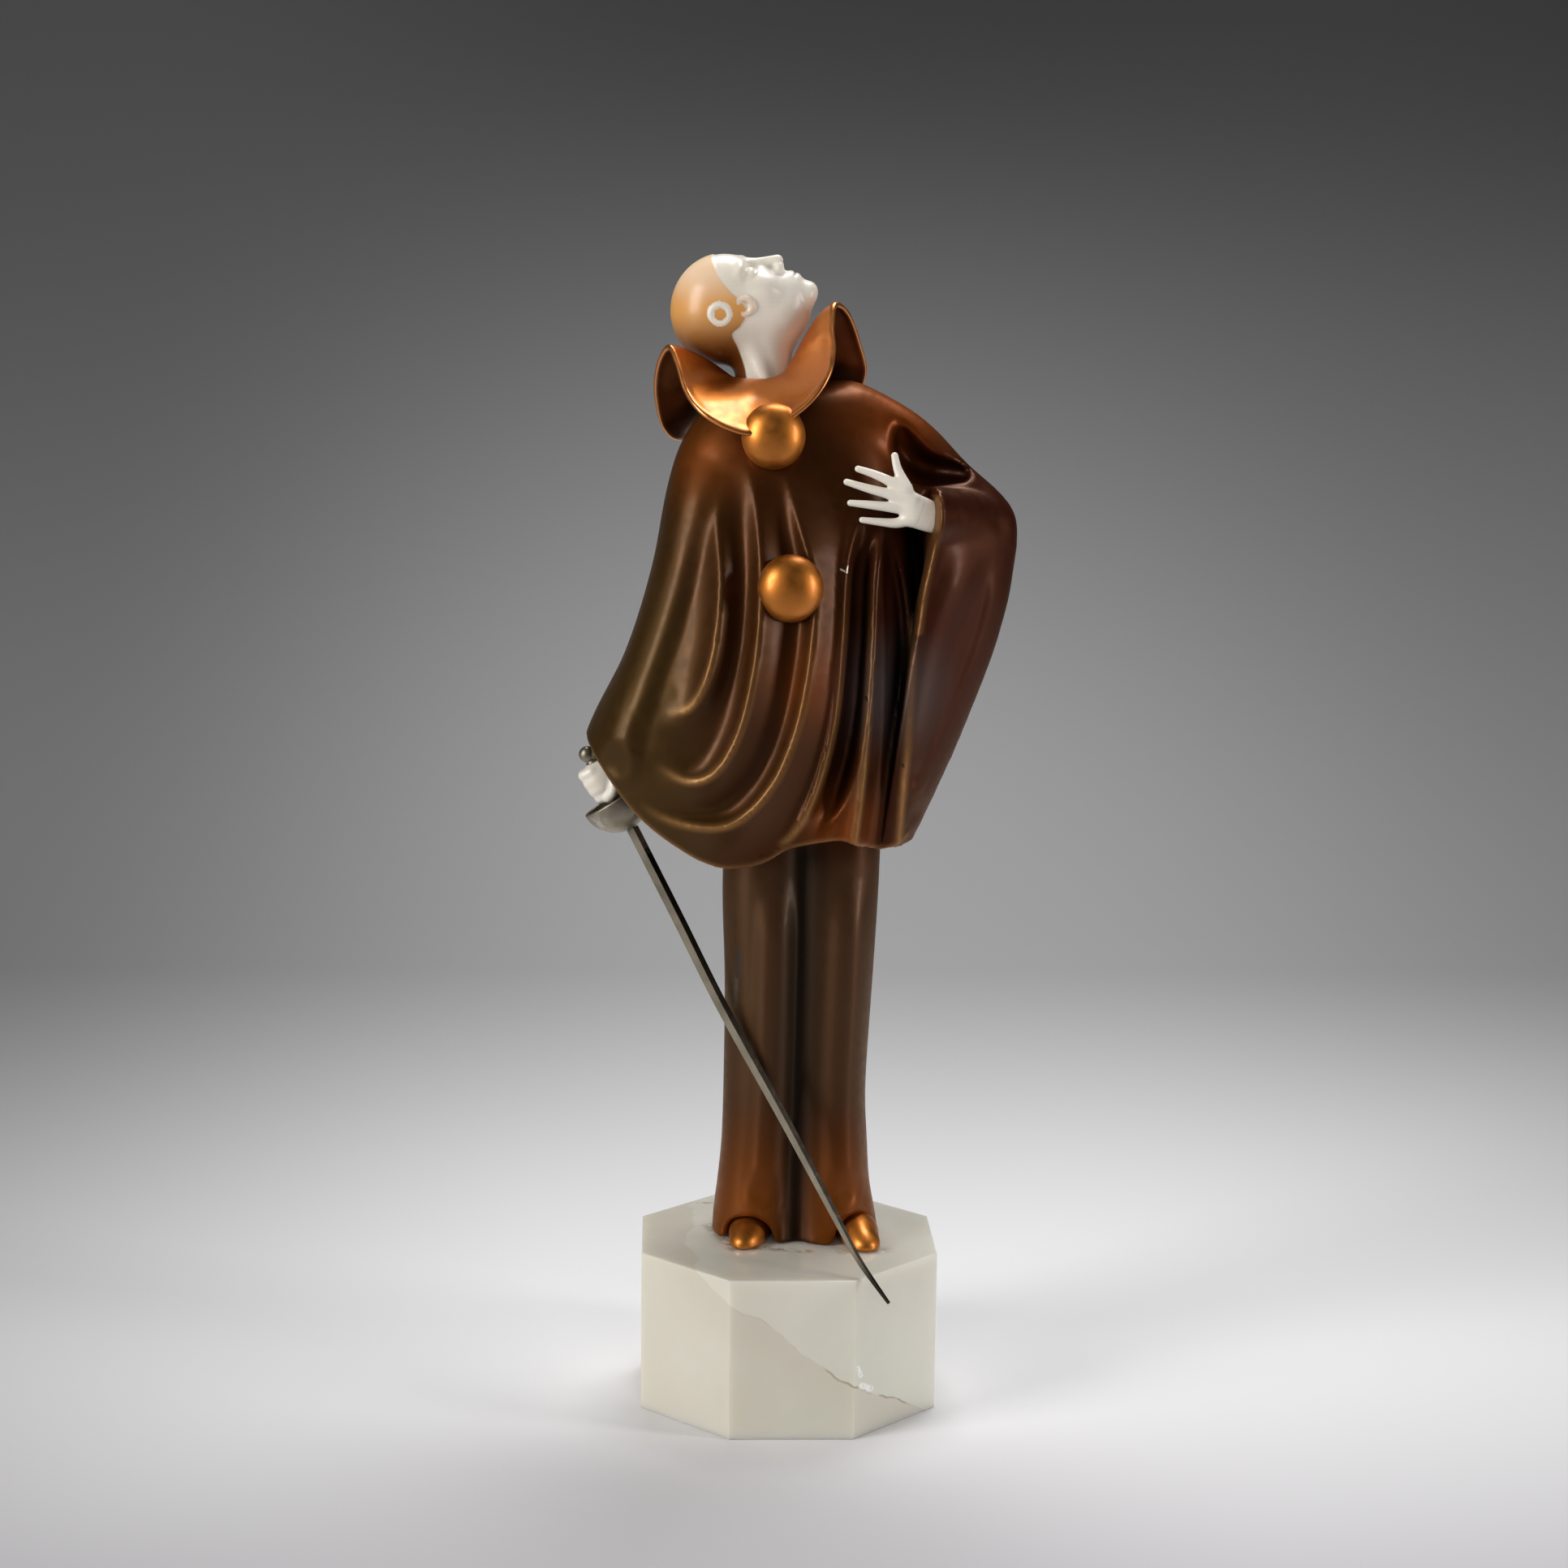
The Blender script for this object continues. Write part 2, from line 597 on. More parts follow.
# %% Onyx
ONYX = (0.74, 0.73, 0.64)
ONYX_PALE = (0.84, 0.84, 0.77)
ONYX_GREEN = (0.62, 0.66, 0.56)
ONYX_BEIGE = (0.60, 0.54, 0.44)
ONYX_BROWN = (0.30, 0.22, 0.12)
ONYX_FLAW = (0.9, 0.9, 0.88)
VEIN_HEIGHT, VEIN_FALL, VEIN_WAVER = 30.5, 0.66, 0.016  # its height in the middle in mm, its slope, its waves in metres
TOP_HEIGHTS = (0.0498, 0.0502)
# Old glue and a thin vein on the top, from (x, y) to (x, y), how wide and how strong.
TOP_MARKS = [((-34, 33), (-22, 33), 1.2, 0.8), ((-24, 8), (-17, -13), 5, 0.6), ((-5, -15.5), (6, -17.5), 3, 0.8),
             ((17, -18), (29, -17), 5, 0.5), ((-17, -16), (-7, -14), 3.5, 0.6)]
FLAWS = [((20.1, 22.6), (21.2, 19.6), 1.2), ((21.4, 16.4), (24.4, 14.2), 1.8)]  # from (x, z) to (x, z), and how wide

onyx, tree, shader = finish("onyx", roughness=0.14, subsurface_weight=0.75, subsurface_scale=0.008,
                            subsurface_radius=(1.0, 0.95, 0.75), coat_weight=0.3, coat_roughness=0.06)
x, y, z = xyz(tree)
colour = mixed(scaled(noise(tree, 18, 4), 0.35, 0.7), ONYX, ONYX_PALE)
colour = mixed(scaled(noise(tree, 9, 3), 0.5, 0.72, 0, 0.6), colour, ONYX_GREEN)
waver = times(minus(noise(tree, 30, 4, 0.5), 0.5), VEIN_WAVER)
above = minus(plus(plus(z, times(x, VEIN_FALL)), waver), VEIN_HEIGHT * MM)
colour = mixed(scaled(above, 0.0004, -0.0004, 0, 0.5), colour, ONYX_BEIGE)
colour = mixed(scaled(above, -0.02, 0.0, 0, 0.35), colour, ONYX_BEIGE)
thread = times(scaled(computed("ABSOLUTE", above), 0.0007, 0.0, 0, 1), scaled(x, -0.02, 0.03, 0.1, 0.8))
colour = mixed(times(thread, scaled(noise(tree, 90, 3), 0.4, 0.6)), colour, ONYX_BROWN)
on_top = node(tree, "ShaderNodeCombineXYZ", X=x, Z=y).outputs[0]
grime = scaled(z, *TOP_HEIGHTS)
for start, end, width, share in TOP_MARKS:
    mark = times(stroke(tree, start, end, width, on_top, 0.9), scaled(noise(tree, 420, 4), 0.38, 0.6, 0, share))
    colour = mixed(times(mark, grime), colour, ONYX_BROWN)
for start, end, width in FLAWS:
    flaw = times(stroke(tree, start, end, width), scaled(noise(tree, 900, 3), 0.35, 0.5))
    colour = mixed(flaw, colour, ONYX_FLAW)
cover(shader, colour)
print("and the finishes", ivory.name, silver.name, onyx.name)

# %% [markdown]
# ## Blouse
# The wide blouse hangs from the neck and the bent arm, so its section is a rounded oval whose sides follow the hanging
# cloth by height. The folds are drawn as lines on the front, as a modeller scores them into wax: each line lifts the
# cloth towards it on one side and lets it drop on the other.

# %% Folds
def fold(points, rise, inner, outer, soft=False, fade_in=0.2, fade_out=0.1):
    """A fold along a line of [x, z] places, with its rise and its reach on either side of the line in mm."""
    line = smooth_line(points)
    length = np.hypot(*np.diff(line, axis=0).T).sum()
    return {"line": line, "rise": rise, "inner": inner, "outer": outer, "soft": soft, "fade_in": fade_in,
            "fade_out": fade_out, "fade_length": fade_out * length}


FRONT_FOLDS = [
    fold([[-28, 297], [-33, 283], [-37, 266], [-42, 249], [-47, 234], [-52, 219], [-55, 204]], 2.6, 8, 7, soft=True),
    fold([[-21, 292], [-24.3, 279], [-23.3, 260], [-25, 241], [-28.5, 229], [-33.5, 222], [-41, 221.6]],
         5.6, 7, 10, fade_in=0.4, fade_out=0.24),
    fold([[-16, 298], [-13, 284], [-11.5, 262], [-12.6, 240], [-17, 218], [-24, 204.5], [-33, 200.6], [-43, 205.5]],
         6.4, 10.5, 7, fade_in=0.35, fade_out=0.2),
    fold([[-5, 298], [-0.5, 279], [4.4, 260], [3.6, 240], [-0.5, 217], [-8, 199], [-20, 187.6], [-36, 187.4],
          [-48, 193]], 5.6, 11.5, 6, fade_out=0.2),
    fold([[19, 284], [15, 266], [13.6, 242], [11, 217], [5.5, 196], [-1, 184], [-6, 180]], 4, 11, 3.4, fade_out=0.16),
    fold([[21.5, 280], [18.6, 264], [17.4, 242], [15.4, 217], [10.6, 197], [5, 186], [1, 179]], -7, 4.6, 5,
         soft=True, fade_out=0.22),
    fold([[25.5, 277], [22, 262], [21.6, 240], [20.6, 214], [19.2, 196], [17.4, 179]], 4.2, 4.2, 6.5, fade_out=0.01),
    fold([[27.5, 277], [32, 259], [34, 240], [33.4, 212], [32.4, 194], [32, 179]], 3.4, 6.5, 3, fade_out=0.01),
]
# The back isn't in the photograph. Five plain soft folds spread down it, each bending outwards a little.
BACK_TOPS, BACK_FEET, BACK_HEIGHTS = (-19, 17), (-42, 27), (292, 176)
BACK_COUNT, BACK_RISE, BACK_REACH = 5, 2.6, 9
BACK_FOLDS = []
for share in np.linspace(0, 1, BACK_COUNT):
    top, foot = np.interp(share, [0, 1], BACK_TOPS), np.interp(share, [0, 1], BACK_FEET)
    run = [[top + (foot - top) * (0.6 * t + 0.4 * t * t), BACK_HEIGHTS[0] + (BACK_HEIGHTS[1] - BACK_HEIGHTS[0]) * t]
           for t in (0, 0.35, 0.72, 1)]
    BACK_FOLDS.append(fold(run, BACK_RISE, BACK_REACH, BACK_REACH, soft=True, fade_in=0.45, fade_out=0.02))

CREST_ROUND = 1.0  # radius of a crisp fold's edge
SLOPE_UP, DROP = 1.6, 2.8  # the cloth climbs slowly to a fold and drops steeply behind it


def fold_shape(f, away, along, to_end):
    """The share of a fold's rise at a distance from its line, at a share of its length and so far from its end."""
    s = (np.sqrt(away * away + CREST_ROUND**2) - CREST_ROUND) / np.where(away < 0, f["inner"], f["outer"])
    s = np.clip(s, 0, 1)
    profile = (1 - s * s) ** 2 if f["soft"] else (1 - s) ** np.where(away < 0, SLOPE_UP, DROP)
    return profile * ease(0, f["fade_in"], along) * ease(0, f["fade_length"], to_end)


class Relief:
    """The lift of some folds, worked out once on a fine grid of x and z and then looked up."""

    LOW, HIGH, PITCH = (-82, 40), (82, 325), 0.25

    def __init__(self, folds):
        x, z = (np.arange(a, b, self.PITCH) for a, b in zip(self.LOW, self.HIGH))
        self.table = np.zeros((x.size, z.size))
        for f in folds:
            reach = max(f["inner"], f["outer"])
            low, high = f["line"].min(0) - reach, f["line"].max(0) + reach
            i, j = (slice(*np.searchsorted(axis, ends)) for axis, ends in zip((x, z), zip(low, high)))
            away, along = line_distance(f["line"], x[i, None], z[None, j])
            to_end = np.hypot(x[i, None] - f["line"][-1][0], z[None, j] - f["line"][-1][1])
            self.table[i, j] += f["rise"] * fold_shape(f, away, along, to_end)

    def __call__(self, x, z):
        u = np.clip((x - self.LOW[0]) / self.PITCH, 0, self.table.shape[0] - 1.001)
        v = np.clip((z - self.LOW[1]) / self.PITCH, 0, self.table.shape[1] - 1.001)
        i, j = u.astype(int), v.astype(int)
        s, t, g = u - i, v - j, self.table
        return (g[i, j] * (1 - s) + g[i + 1, j] * s) * (1 - t) + (g[i, j + 1] * (1 - s) + g[i + 1, j + 1] * s) * t


front_lift = Relief(FRONT_FOLDS)
back_lift = Relief(BACK_FOLDS)
print("front folds rise up to", round(front_lift.table.max(), 1), "mm and sink to", round(front_lift.table.min(), 1))

# %% Cloth of the blouse
# Its left and right side, middle and depth by height, and the height of its hem by x.
BLOUSE_LEFT = track([
    [168, -60], [205, -65], [215, -62.2], [236, -52], [262, -44], [287, -39.2], [301, -34.5], [318, -23],
])
BLOUSE_RIGHT = track([[168, 32], [178, 33.4], [215, 36], [250, 36.3], [272, 35], [290, 32], [305, 27], [318, 17]])
BLOUSE_MIDDLE = track([[168, 2], [195, 0.5], [245, -0.5], [290, 1.5], [318, 3]])
BLOUSE_DEPTH = track([
    [168, 25], [178, 27], [200, 30], [220, 31], [245, 30], [270, 27], [290, 23.5], [305, 19], [318, 12],
])
HEM = track([
    [-66, 214], [-60, 204.5], [-48.7, 189.5], [-33.6, 177.8], [-24, 173.2], [-16, 172.8], [-8.9, 174.9],
    [-2, 179], [6.7, 180.8], [15.5, 181.2], [20, 179.3], [25, 178], [29.7, 178.6], [34, 181],
])
CROWN, WALL, HEM_HOLLOW = 316, 3, 9  # where the cloth ends under the collar, its wall, and the hollow of its hem
BLOUSE_SQUARENESS = 2.6  # 2 is an ellipse, more is boxier


def blouse_cloth(x, y, z):
    left, right_side = BLOUSE_LEFT(z), BLOUSE_RIGHT(z)
    dy = y - BLOUSE_MIDDLE(z)
    depth = BLOUSE_DEPTH(z)
    body = oval(x - (left + right_side) / 2, dy, (right_side - left) / 2, depth, BLOUSE_SQUARENESS)
    lift = np.where(dy < 0, front_lift(x, z), back_lift(x, z))
    return body - ease(0.08, 0.55, np.abs(dy) / depth) * lift


# %% [markdown]
# The left arm is bent, and its wide sleeve hangs from the forearm as a flat slab with an open cuff. Limbs carry the arm
# and the back of the sleeve, the slab follows the hanging cloth by height, and a pocket and a groove are carved out.

# %% Bent arm and sleeve
UPPER_ARM = [[3, 3, 301.5, 14.5], [14.5, 2.5, 306.6, 11.8], [25.1, 1.5, 303.7, 10.5], [35, 0, 298.5, 9.2],
             [46, -2, 288, 8.6], [55.5, -3.5, 279.2, 9], [57.2, -5, 273.5, 9.4]]
FOREARM = [[57, -5, 275.5, 9.6], [50, -12, 277.5, 9.4], [43, -20, 279, 9.2], [36, -28, 280, 9]]
ARM_BACK = [[22, 4, 296, 12.5], [35, 3, 288, 12.5], [45, 0, 280, 12], [49, -3, 270, 12]]
SLEEVE_BACK = [[48, -1, 270, 14.5], [46.5, 0, 245, 15.5], [39, 1, 215, 13.5], [31, 2, 189, 10.5]]
ARM_POCKET = [[30.2, -12, 307, 1.8], [32.6, -10, 299.5, 4.6], [37, -8, 294, 5.4], [43, -7.5, 292.4, 4.2],
              [49.6, -8.5, 291.6, 2.6]]
SLEEVE_GROOVE = [[37.4, -17, 274, 1.5], [36.6, -16, 260, 1.9], [35.8, -15, 248, 1.3], [35.4, -16, 241, 0.4]]
SLEEVE_LEFT_X = track([[178, 28], [200, 30.5], [220, 32.5], [243, 35.2], [255, 37.4], [268, 39.6], [280, 39]])
SLEEVE_LEFT_Y = track([[178, -11], [220, -17], [243, -19.5], [268, -22], [280, -22]])
SLEEVE_RIGHT_X = track([
    [178, 33.4], [196, 41], [217, 49.7], [237, 57.9], [250, 61.6], [261, 63.7], [272, 64.8], [284, 62],
])
SLEEVE_RIGHT_Y = track([[178, 1], [237, 0], [280, -2]])
SLEEVE_HALF = track([[178, 6], [200, 7.4], [243, 8.4], [280, 8.6]])
# The cuff ends in a flat face. Its front edge is at this x by height, and the face runs back from it at a small slant.
CUFF_EDGE = track([
    [178, 28.4], [200, 30.2], [220, 32.4], [236, 34.4], [246, 35.9], [258, 37.3], [265, 38.6], [272, 39.9], [278, 40.5],
    [284, 40.6], [289, 40.1],
])
CUFF_EDGE_Y, CUFF_SLANT, CUFF_REACH = -31, 0.15, 8
SHOULDER_SLOPE = 0.6  # how steeply the cloth falls over the forearm towards the elbow
SLEEVE_FOOT, SLEEVE_TOP = 178.5, 286.8
SLEEVE_FOLDS = [
    fold([[53, 270], [48, 259], [43.6, 249.5], [40.4, 241], [38.4, 230], [36.6, 216], [34.5, 200]], 1.3, 6, 7,
         soft=True),
    fold([[61.5, 268], [60.2, 253], [57, 240], [51.6, 225], [44.6, 208], [36.6, 188]], 1.0, 7, 4, soft=True),
]
sleeve_lift = Relief(SLEEVE_FOLDS)


def sleeve_cloth(x, y, z):
    ax, ay, bx, by = SLEEVE_LEFT_X(z), SLEEVE_LEFT_Y(z), SLEEVE_RIGHT_X(z), SLEEVE_RIGHT_Y(z)
    reach = np.hypot(bx - ax, by - ay)
    ux, uy = (bx - ax) / reach, (by - ay) / reach
    ax, ay, reach = ax - CUFF_REACH * ux, ay - CUFF_REACH * uy, (reach + CUFF_REACH) / 2
    dx, dy = x - (ax + bx) / 2, y - (ay + by) / 2
    slab = oval(dx * ux + dy * uy, dy * ux - dx * uy, reach, SLEEVE_HALF(z), 3)
    slab = slab - np.where(y < 0, sleeve_lift(x, z), 0)
    top = (z - SLEEVE_TOP + SHOULDER_SLOPE * np.clip(x - 42, 0, 24)) * 0.86
    return within(slab, top, 3)


def arm(x, y, z):
    front = merge(limb(x, y, z, FOREARM), sleeve_cloth(x, y, z), 2)
    front = within(front, CUFF_EDGE(z) - CUFF_SLANT * (y - CUFF_EDGE_Y) - x, 0.7)
    back = merge(limb(x, y, z, ARM_BACK), limb(x, y, z, SLEEVE_BACK), 4)
    return merge(merge(limb(x, y, z, UPPER_ARM), back, 4), front, 2)


# %% [markdown]
# The whole blouse is the cloth, cut off along the hem and hollowed out under it, with the arm run into it. The join is
# tight along the body and softer at the shoulder. Worn edges are noted per point, so that the finish can bare them.

# %% Whole blouse
def blouse(x, y, z):
    hem = (HEM(x) - z) * 0.8
    cloth = blouse_cloth(x, y, z)
    body = within(within(cloth, z - CROWN, 5), hem, 1.1)
    body = carve(body, within(cloth + WALL, -hem - HEM_HOLLOW, 3), 1)
    gap = 1.2 + 5 * ease(288, 306, z) + 1.5 * ease(238, 215, z)
    whole = merge(body, within(arm(x, y, z), SLEEVE_FOOT - z, 1), gap)
    whole = carve(whole, limb(x, y, z, SLEEVE_GROOVE, deep=3), 0.8)
    return carve(whole, limb(x, y, z, ARM_POCKET, deep=2), 1.6)


FAR = 6  # beyond this a crest has no effect, in mm


def crest_of(points):
    """How far points lie from the nearest worn edge, in mm, and how strongly that edge is worn there."""
    x, y, z = points.T
    gap = np.full(len(points), FAR)
    worn = np.zeros(len(points))
    front = ease(0.1, 0.5, -(y - BLOUSE_MIDDLE(z)) / BLOUSE_DEPTH(z))
    for f in FRONT_FOLDS:
        if f["soft"]:
            continue
        away, along = line_distance(f["line"], x, z)
        fade = ease(0.5 * f["fade_in"], 0.8, along) * (1 - ease(1 - f["fade_out"], 1, along)) * front
        nearer = np.abs(away) < gap
        gap = np.where(nearer, np.abs(away), gap)
        worn = np.where(nearer, fade, worn)
    cuff = np.where((z < 287) & (z > 244), x - CUFF_EDGE(z), FAR)
    for edge, share in ((z - HEM(x), 0.7), (cuff, 0.6)):
        near_edge = (np.abs(edge) < gap) & (y < -12)
        gap = np.where(near_edge, np.abs(edge), gap)
        worn = np.where(near_edge, share, worn)
    return gap, worn


CELL = 1.06
low, high = box_of("bronze_figure")
points, faces = skin(blouse, (low[0] - 3, low[1] - 3, 166), (high[0] + 3, high[1] + 3, CROWN + 6), CELL)
gap, worn = crest_of(points)
values = {"shelter": shelter(blouse, points), "gap": gap, "worn": worn}
piece("blouse", points, faces, bronze, ["bronze_figure"], values)

# %% [markdown]
# ## Trousers and shoes
# The trousers hang in two straight tubes that touch, so two ovals join with a narrow groove. The hem spreads and is
# lifted over each shoe.

# %% Trousers
TROUSERS_LEFT = track([
    [50, -23.8], [57, -23.4], [67, -22.2], [81, -21], [107, -20.5], [133, -20.5], [160, -21.4], [182, -21],
])
TROUSERS_RIGHT = track([
    [50, 29], [57, 27.9], [67, 26.1], [81, 25.1], [94, 24.4], [107, 24.7], [133, 26.1], [160, 27.4], [182, 28],
])
TROUSERS_DEPTH = track([[50, 19.4], [60, 18.2], [81, 16.2], [107, 15.4], [182, 15.8]])
TROUSERS_MIDDLE, TROUSERS_TOP = 6.5, 183  # y of the middle, and a height that the blouse hides
SEAT_LINE, LEG_OVERLAP, LEG_SQUARENESS = 2.4, 3.4, 2.15  # x where the legs meet
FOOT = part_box("plinth")[1].z / MM + 0.3
TROUSER_FOLDS = [
    fold([[-5.5, 168], [-6, 130], [-7, 95], [-9, 66]], 2.2, 8, 6, soft=True),
    fold([[18.5, 168], [17.5, 130], [16.5, 95], [17, 66]], 2.2, 7, 7, soft=True),
]
SHOES = [(-12.2, -2.5, -0.06, -1.2), (22.0, -5, 0.06, 1.2)]  # middle, turn and how far the toe points aside
SHOE_RADII, SHOE_HEIGHT = (6.5, 11.8, 6.5), 52.6
TOE_RADII, TOE_PLACE = (4.6, 5.4, 3.4), (-9.4, -0.6)
trouser_lift = Relief(TROUSER_FOLDS)


def trousers(x, y, z):
    depth = TROUSERS_DEPTH(z)
    dy = y - TROUSERS_MIDDLE
    left, right_side = TROUSERS_LEFT(z), TROUSERS_RIGHT(z)

    def leg(start, end):
        return oval(x - (start + end) / 2, dy, (end - start) / 2, depth, LEG_SQUARENESS)

    both = merge(leg(left, SEAT_LINE + LEG_OVERLAP), leg(SEAT_LINE - LEG_OVERLAP, right_side), 4.5)
    both = both - np.where(dy < 0, ease(0.1, 0.5, -dy / depth) * trouser_lift(x, z), 0)
    both = within(within(both, z - TROUSERS_TOP, 1), FOOT - z, 0.8)
    for sx, sy, _, _ in SHOES:
        arch = [[sx, sy - 20, FOOT, 6.8], [sx, sy - 4, FOOT + 1.2, 7.4]]
        both = carve(both, limb(x, y, z, arch), 3)
    return both


points, faces = skin(trousers, (-27, -14, FOOT - 2), (32, 28, TROUSERS_TOP + 2), CELL)
values = {"shelter": shelter(trousers, points), "gap": np.full(len(points), FAR), "worn": np.zeros(len(points))}
piece("trousers", points, faces, bronze, ["bronze_figure"], values)


# %% Shoes
def shoes(x, y, z):
    both = None
    for sx, sy, turn, aside in SHOES:
        c, s = math.cos(turn), math.sin(turn)
        ux, uy = (x - sx) * c + (y - sy) * s, (y - sy) * c - (x - sx) * s
        one = egg(ux, uy, z - SHOE_HEIGHT, (0, 0, 0), SHOE_RADII)
        one = merge(one, egg(ux, uy, z - SHOE_HEIGHT, (aside, *TOE_PLACE), TOE_RADII), 3)
        both = one if both is None else np.minimum(both, one)
    return within(both, FOOT - z, 0.5)


points, faces = skin(shoes, (-20, -20, FOOT - 1), (30, 12, 61), 0.5)
values = {"shelter": shelter(shoes, points), "crest": np.zeros(len(points))}
piece("shoes", points, faces, gilt, ["bronze_figure"], values)

# %% [markdown]
# ## Collar
# The big collar is a thin sheet that spreads from the neck to a waving rim. One closed curve is its rim, and the sheet
# runs out to it along the rays from the neck. A rolled edge closes it.

# %% Collar sheet
NECKLINE_X, NECKLINE_Y, NECKLINE_RADIUS = -11, 2, 10.3
HALF_SHEET, RIM_SWELL = 0.62, 0.16  # half the sheet's thickness, and what its rolled rim adds
BAND_FOOT, BAND_TOP = CROWN + 0.3, 319.4
COLLAR_RIM = [
    [10.4, -9, 341.5], [9.3, -15, 334.8], [9.6, -20, 328.4], [7.8, -25, 321], [2.8, -27, 313.7], [-5, -27, 307.6],
    [-14, -28, 304], [-22, -28.5, 305.8], [-29.5, -26, 310.2], [-33.8, -20.5, 315.8], [-36.5, -14, 324],
    [-39, -8.5, 328.6], [-42, -2.5, 323.3], [-42.8, 4, 314.5], [-40.5, 10.5, 304.2], [-35, 18, 300.3],
    [-25, 25.5, 306], [-11, 28.5, 312.5], [5, 27, 309.5], [16, 21.5, 309.5], [20.8, 12.5, 320.5], [18.3, 6, 330.8],
    [14.5, -2.5, 339],
]


def closed_line(points, steps):
    """A smooth closed curve through points."""
    p = np.array(points, float)
    t = (np.arange(steps) / steps)[None, :, None]
    a, b, c, d = (np.roll(p, k, axis=0)[:, None, :] for k in (1, 0, -1, -2))
    line = 0.5 * (2 * b + (c - a) * t + (2 * a - 5 * b + 4 * c - d) * t**2 + (3 * b - a - 3 * c + d) * t**3)
    return line.reshape(-1, 3)


# %% [markdown]
# Each row of the sheet is one step from the neck to the rim, and below the neckline it goes down to a short band. The
# sheet rises late where it falls outwards and early where it climbs, as a stiff collar does.

# %% Rows of the sheet
rim = closed_line(COLLAR_RIM, 18)
ray = rim[:, :2] - (NECKLINE_X, NECKLINE_Y)
ray /= np.linalg.norm(ray, axis=1)[:, None]
start = np.array([NECKLINE_X, NECKLINE_Y]) + ray * NECKLINE_RADIUS
top = BAND_TOP + 0.05 * np.maximum(0, start[:, 0] - NECKLINE_X) ** 2
shares = np.concatenate([-np.linspace(1, 0, 6)[:-1], np.linspace(0, 1, 36)])
rows = []
for share in shares:
    out = max(share, 0)
    climbing = ease(-8, 8, rim[:, 2] - top)
    level = out**1.2 * (1 - climbing) + (1 - (1 - out) ** 1.6) * climbing
    plan = start + (rim[:, :2] - start) * out
    height = top + (rim[:, 2] - top) * level if share >= 0 else top + (BAND_FOOT - top) * -share
    rows.append(np.column_stack([plan, height]))
sheet = np.stack(rows)
for _ in range(6):
    sheet[4:8] += 0.5 * ((sheet[3:7] + sheet[5:9]) / 2 - sheet[4:8])
around = np.roll(sheet, -1, axis=1) - np.roll(sheet, 1, axis=1)
across = np.gradient(sheet, axis=0)
normal = np.cross(around, across)
normal /= np.linalg.norm(normal, axis=2)[:, :, None]
outwards = across[-1] / np.linalg.norm(across[-1], axis=1)[:, None]
half = HALF_SHEET + RIM_SWELL * ease(0.9, 0.99, shares)[:, None, None]
roll_turns = np.linspace(0, np.pi, 7)[1:-1]
bead = half[-1, 0, 0]
roll = [sheet[-1] + bead * (normal[-1] * math.cos(a) + outwards * math.sin(a)) for a in roll_turns]
loop = np.concatenate([sheet + normal * half, np.stack(roll), (sheet - normal * half)[::-1]])
rows_count, turns = loop.shape[:2]
index = np.arange(rows_count * turns).reshape(rows_count, turns)
nxt = np.roll(index, -1, axis=1)
faces = np.stack([index, nxt, np.roll(nxt, -1, axis=0), np.roll(index, -1, axis=0)], 2).reshape(-1, 4)
points = loop.reshape(-1, 3)
# The rim is a crest. The underside reads as sheltered, less so near the rim.
crest = np.zeros(loop.shape[:2])
crest[len(shares) - 1:len(shares) + len(roll_turns) + 1] = 1
under = np.zeros(loop.shape[:2])
under[len(shares) + len(roll_turns):] = (0.56 + 0.3 * ease(1.0, 0.85, shares[::-1]))[:, None]
values = {"shelter": under.ravel(), "crest": crest.ravel()}


def outside_out(points, faces):
    """Faces turned so that they point outwards."""
    a, b, c, d = (points[faces[:, k]] for k in range(4))
    volume = np.sum(a * np.cross(b, c)) + np.sum(a * np.cross(c, d))
    return faces if volume > 0 else faces[:, ::-1]


piece("collar_sheet", points, outside_out(points, faces), copper, ["collar"], values)

# %% [markdown]
# ## Head
# The head is one ivory carving with its neck. It is thrown back, so it is built upright in its own axes, forwards, up
# and to the side, and a field reads it in them. The face is a calm, general one on the proportions that drawing books
# give: eyes at half the height, nose and mouth at their thirds below.

# %% Head axes
HEAD_CENTRE = np.array([-17.5, 2, 340])
HEAD_TILT, HEAD_TURN = 0.267, 0.2
CROWN_AXIS = np.array([-math.cos(HEAD_TILT), 0, math.sin(HEAD_TILT)])
FACE_AXIS = np.array([math.sin(HEAD_TILT) * math.cos(HEAD_TURN), -math.sin(HEAD_TURN),
                      math.cos(HEAD_TILT) * math.cos(HEAD_TURN)])
SIDE_AXIS = np.cross(FACE_AXIS, CROWN_AXIS)


def head_place(x, y, z):
    """A place as forwards, up and sideways from the middle of the head."""
    dx, dy, dz = x - HEAD_CENTRE[0], y - HEAD_CENTRE[1], z - HEAD_CENTRE[2]
    return [a[0] * dx + a[1] * dy + a[2] * dz for a in (FACE_AXIS, CROWN_AXIS, SIDE_AXIS)]


def ring(f, u, s, centre, radius, thick):
    """Distance to a ring that lies flat against the side of the head."""
    df, du, ds = f - centre[0], u - centre[1], s - centre[2]
    return np.sqrt((np.hypot(df, du) - radius) ** 2 + ds * ds) - thick


print("the face looks along", FACE_AXIS.round(2), "and the crown points along", CROWN_AXIS.round(2))

# %% [markdown]
# A carver starts from an egg for the skull and adds or takes away one mass after another, the same on both sides. Each
# step below is one such egg: what is done with it, its middle, its radii and how softly it runs into the rest.

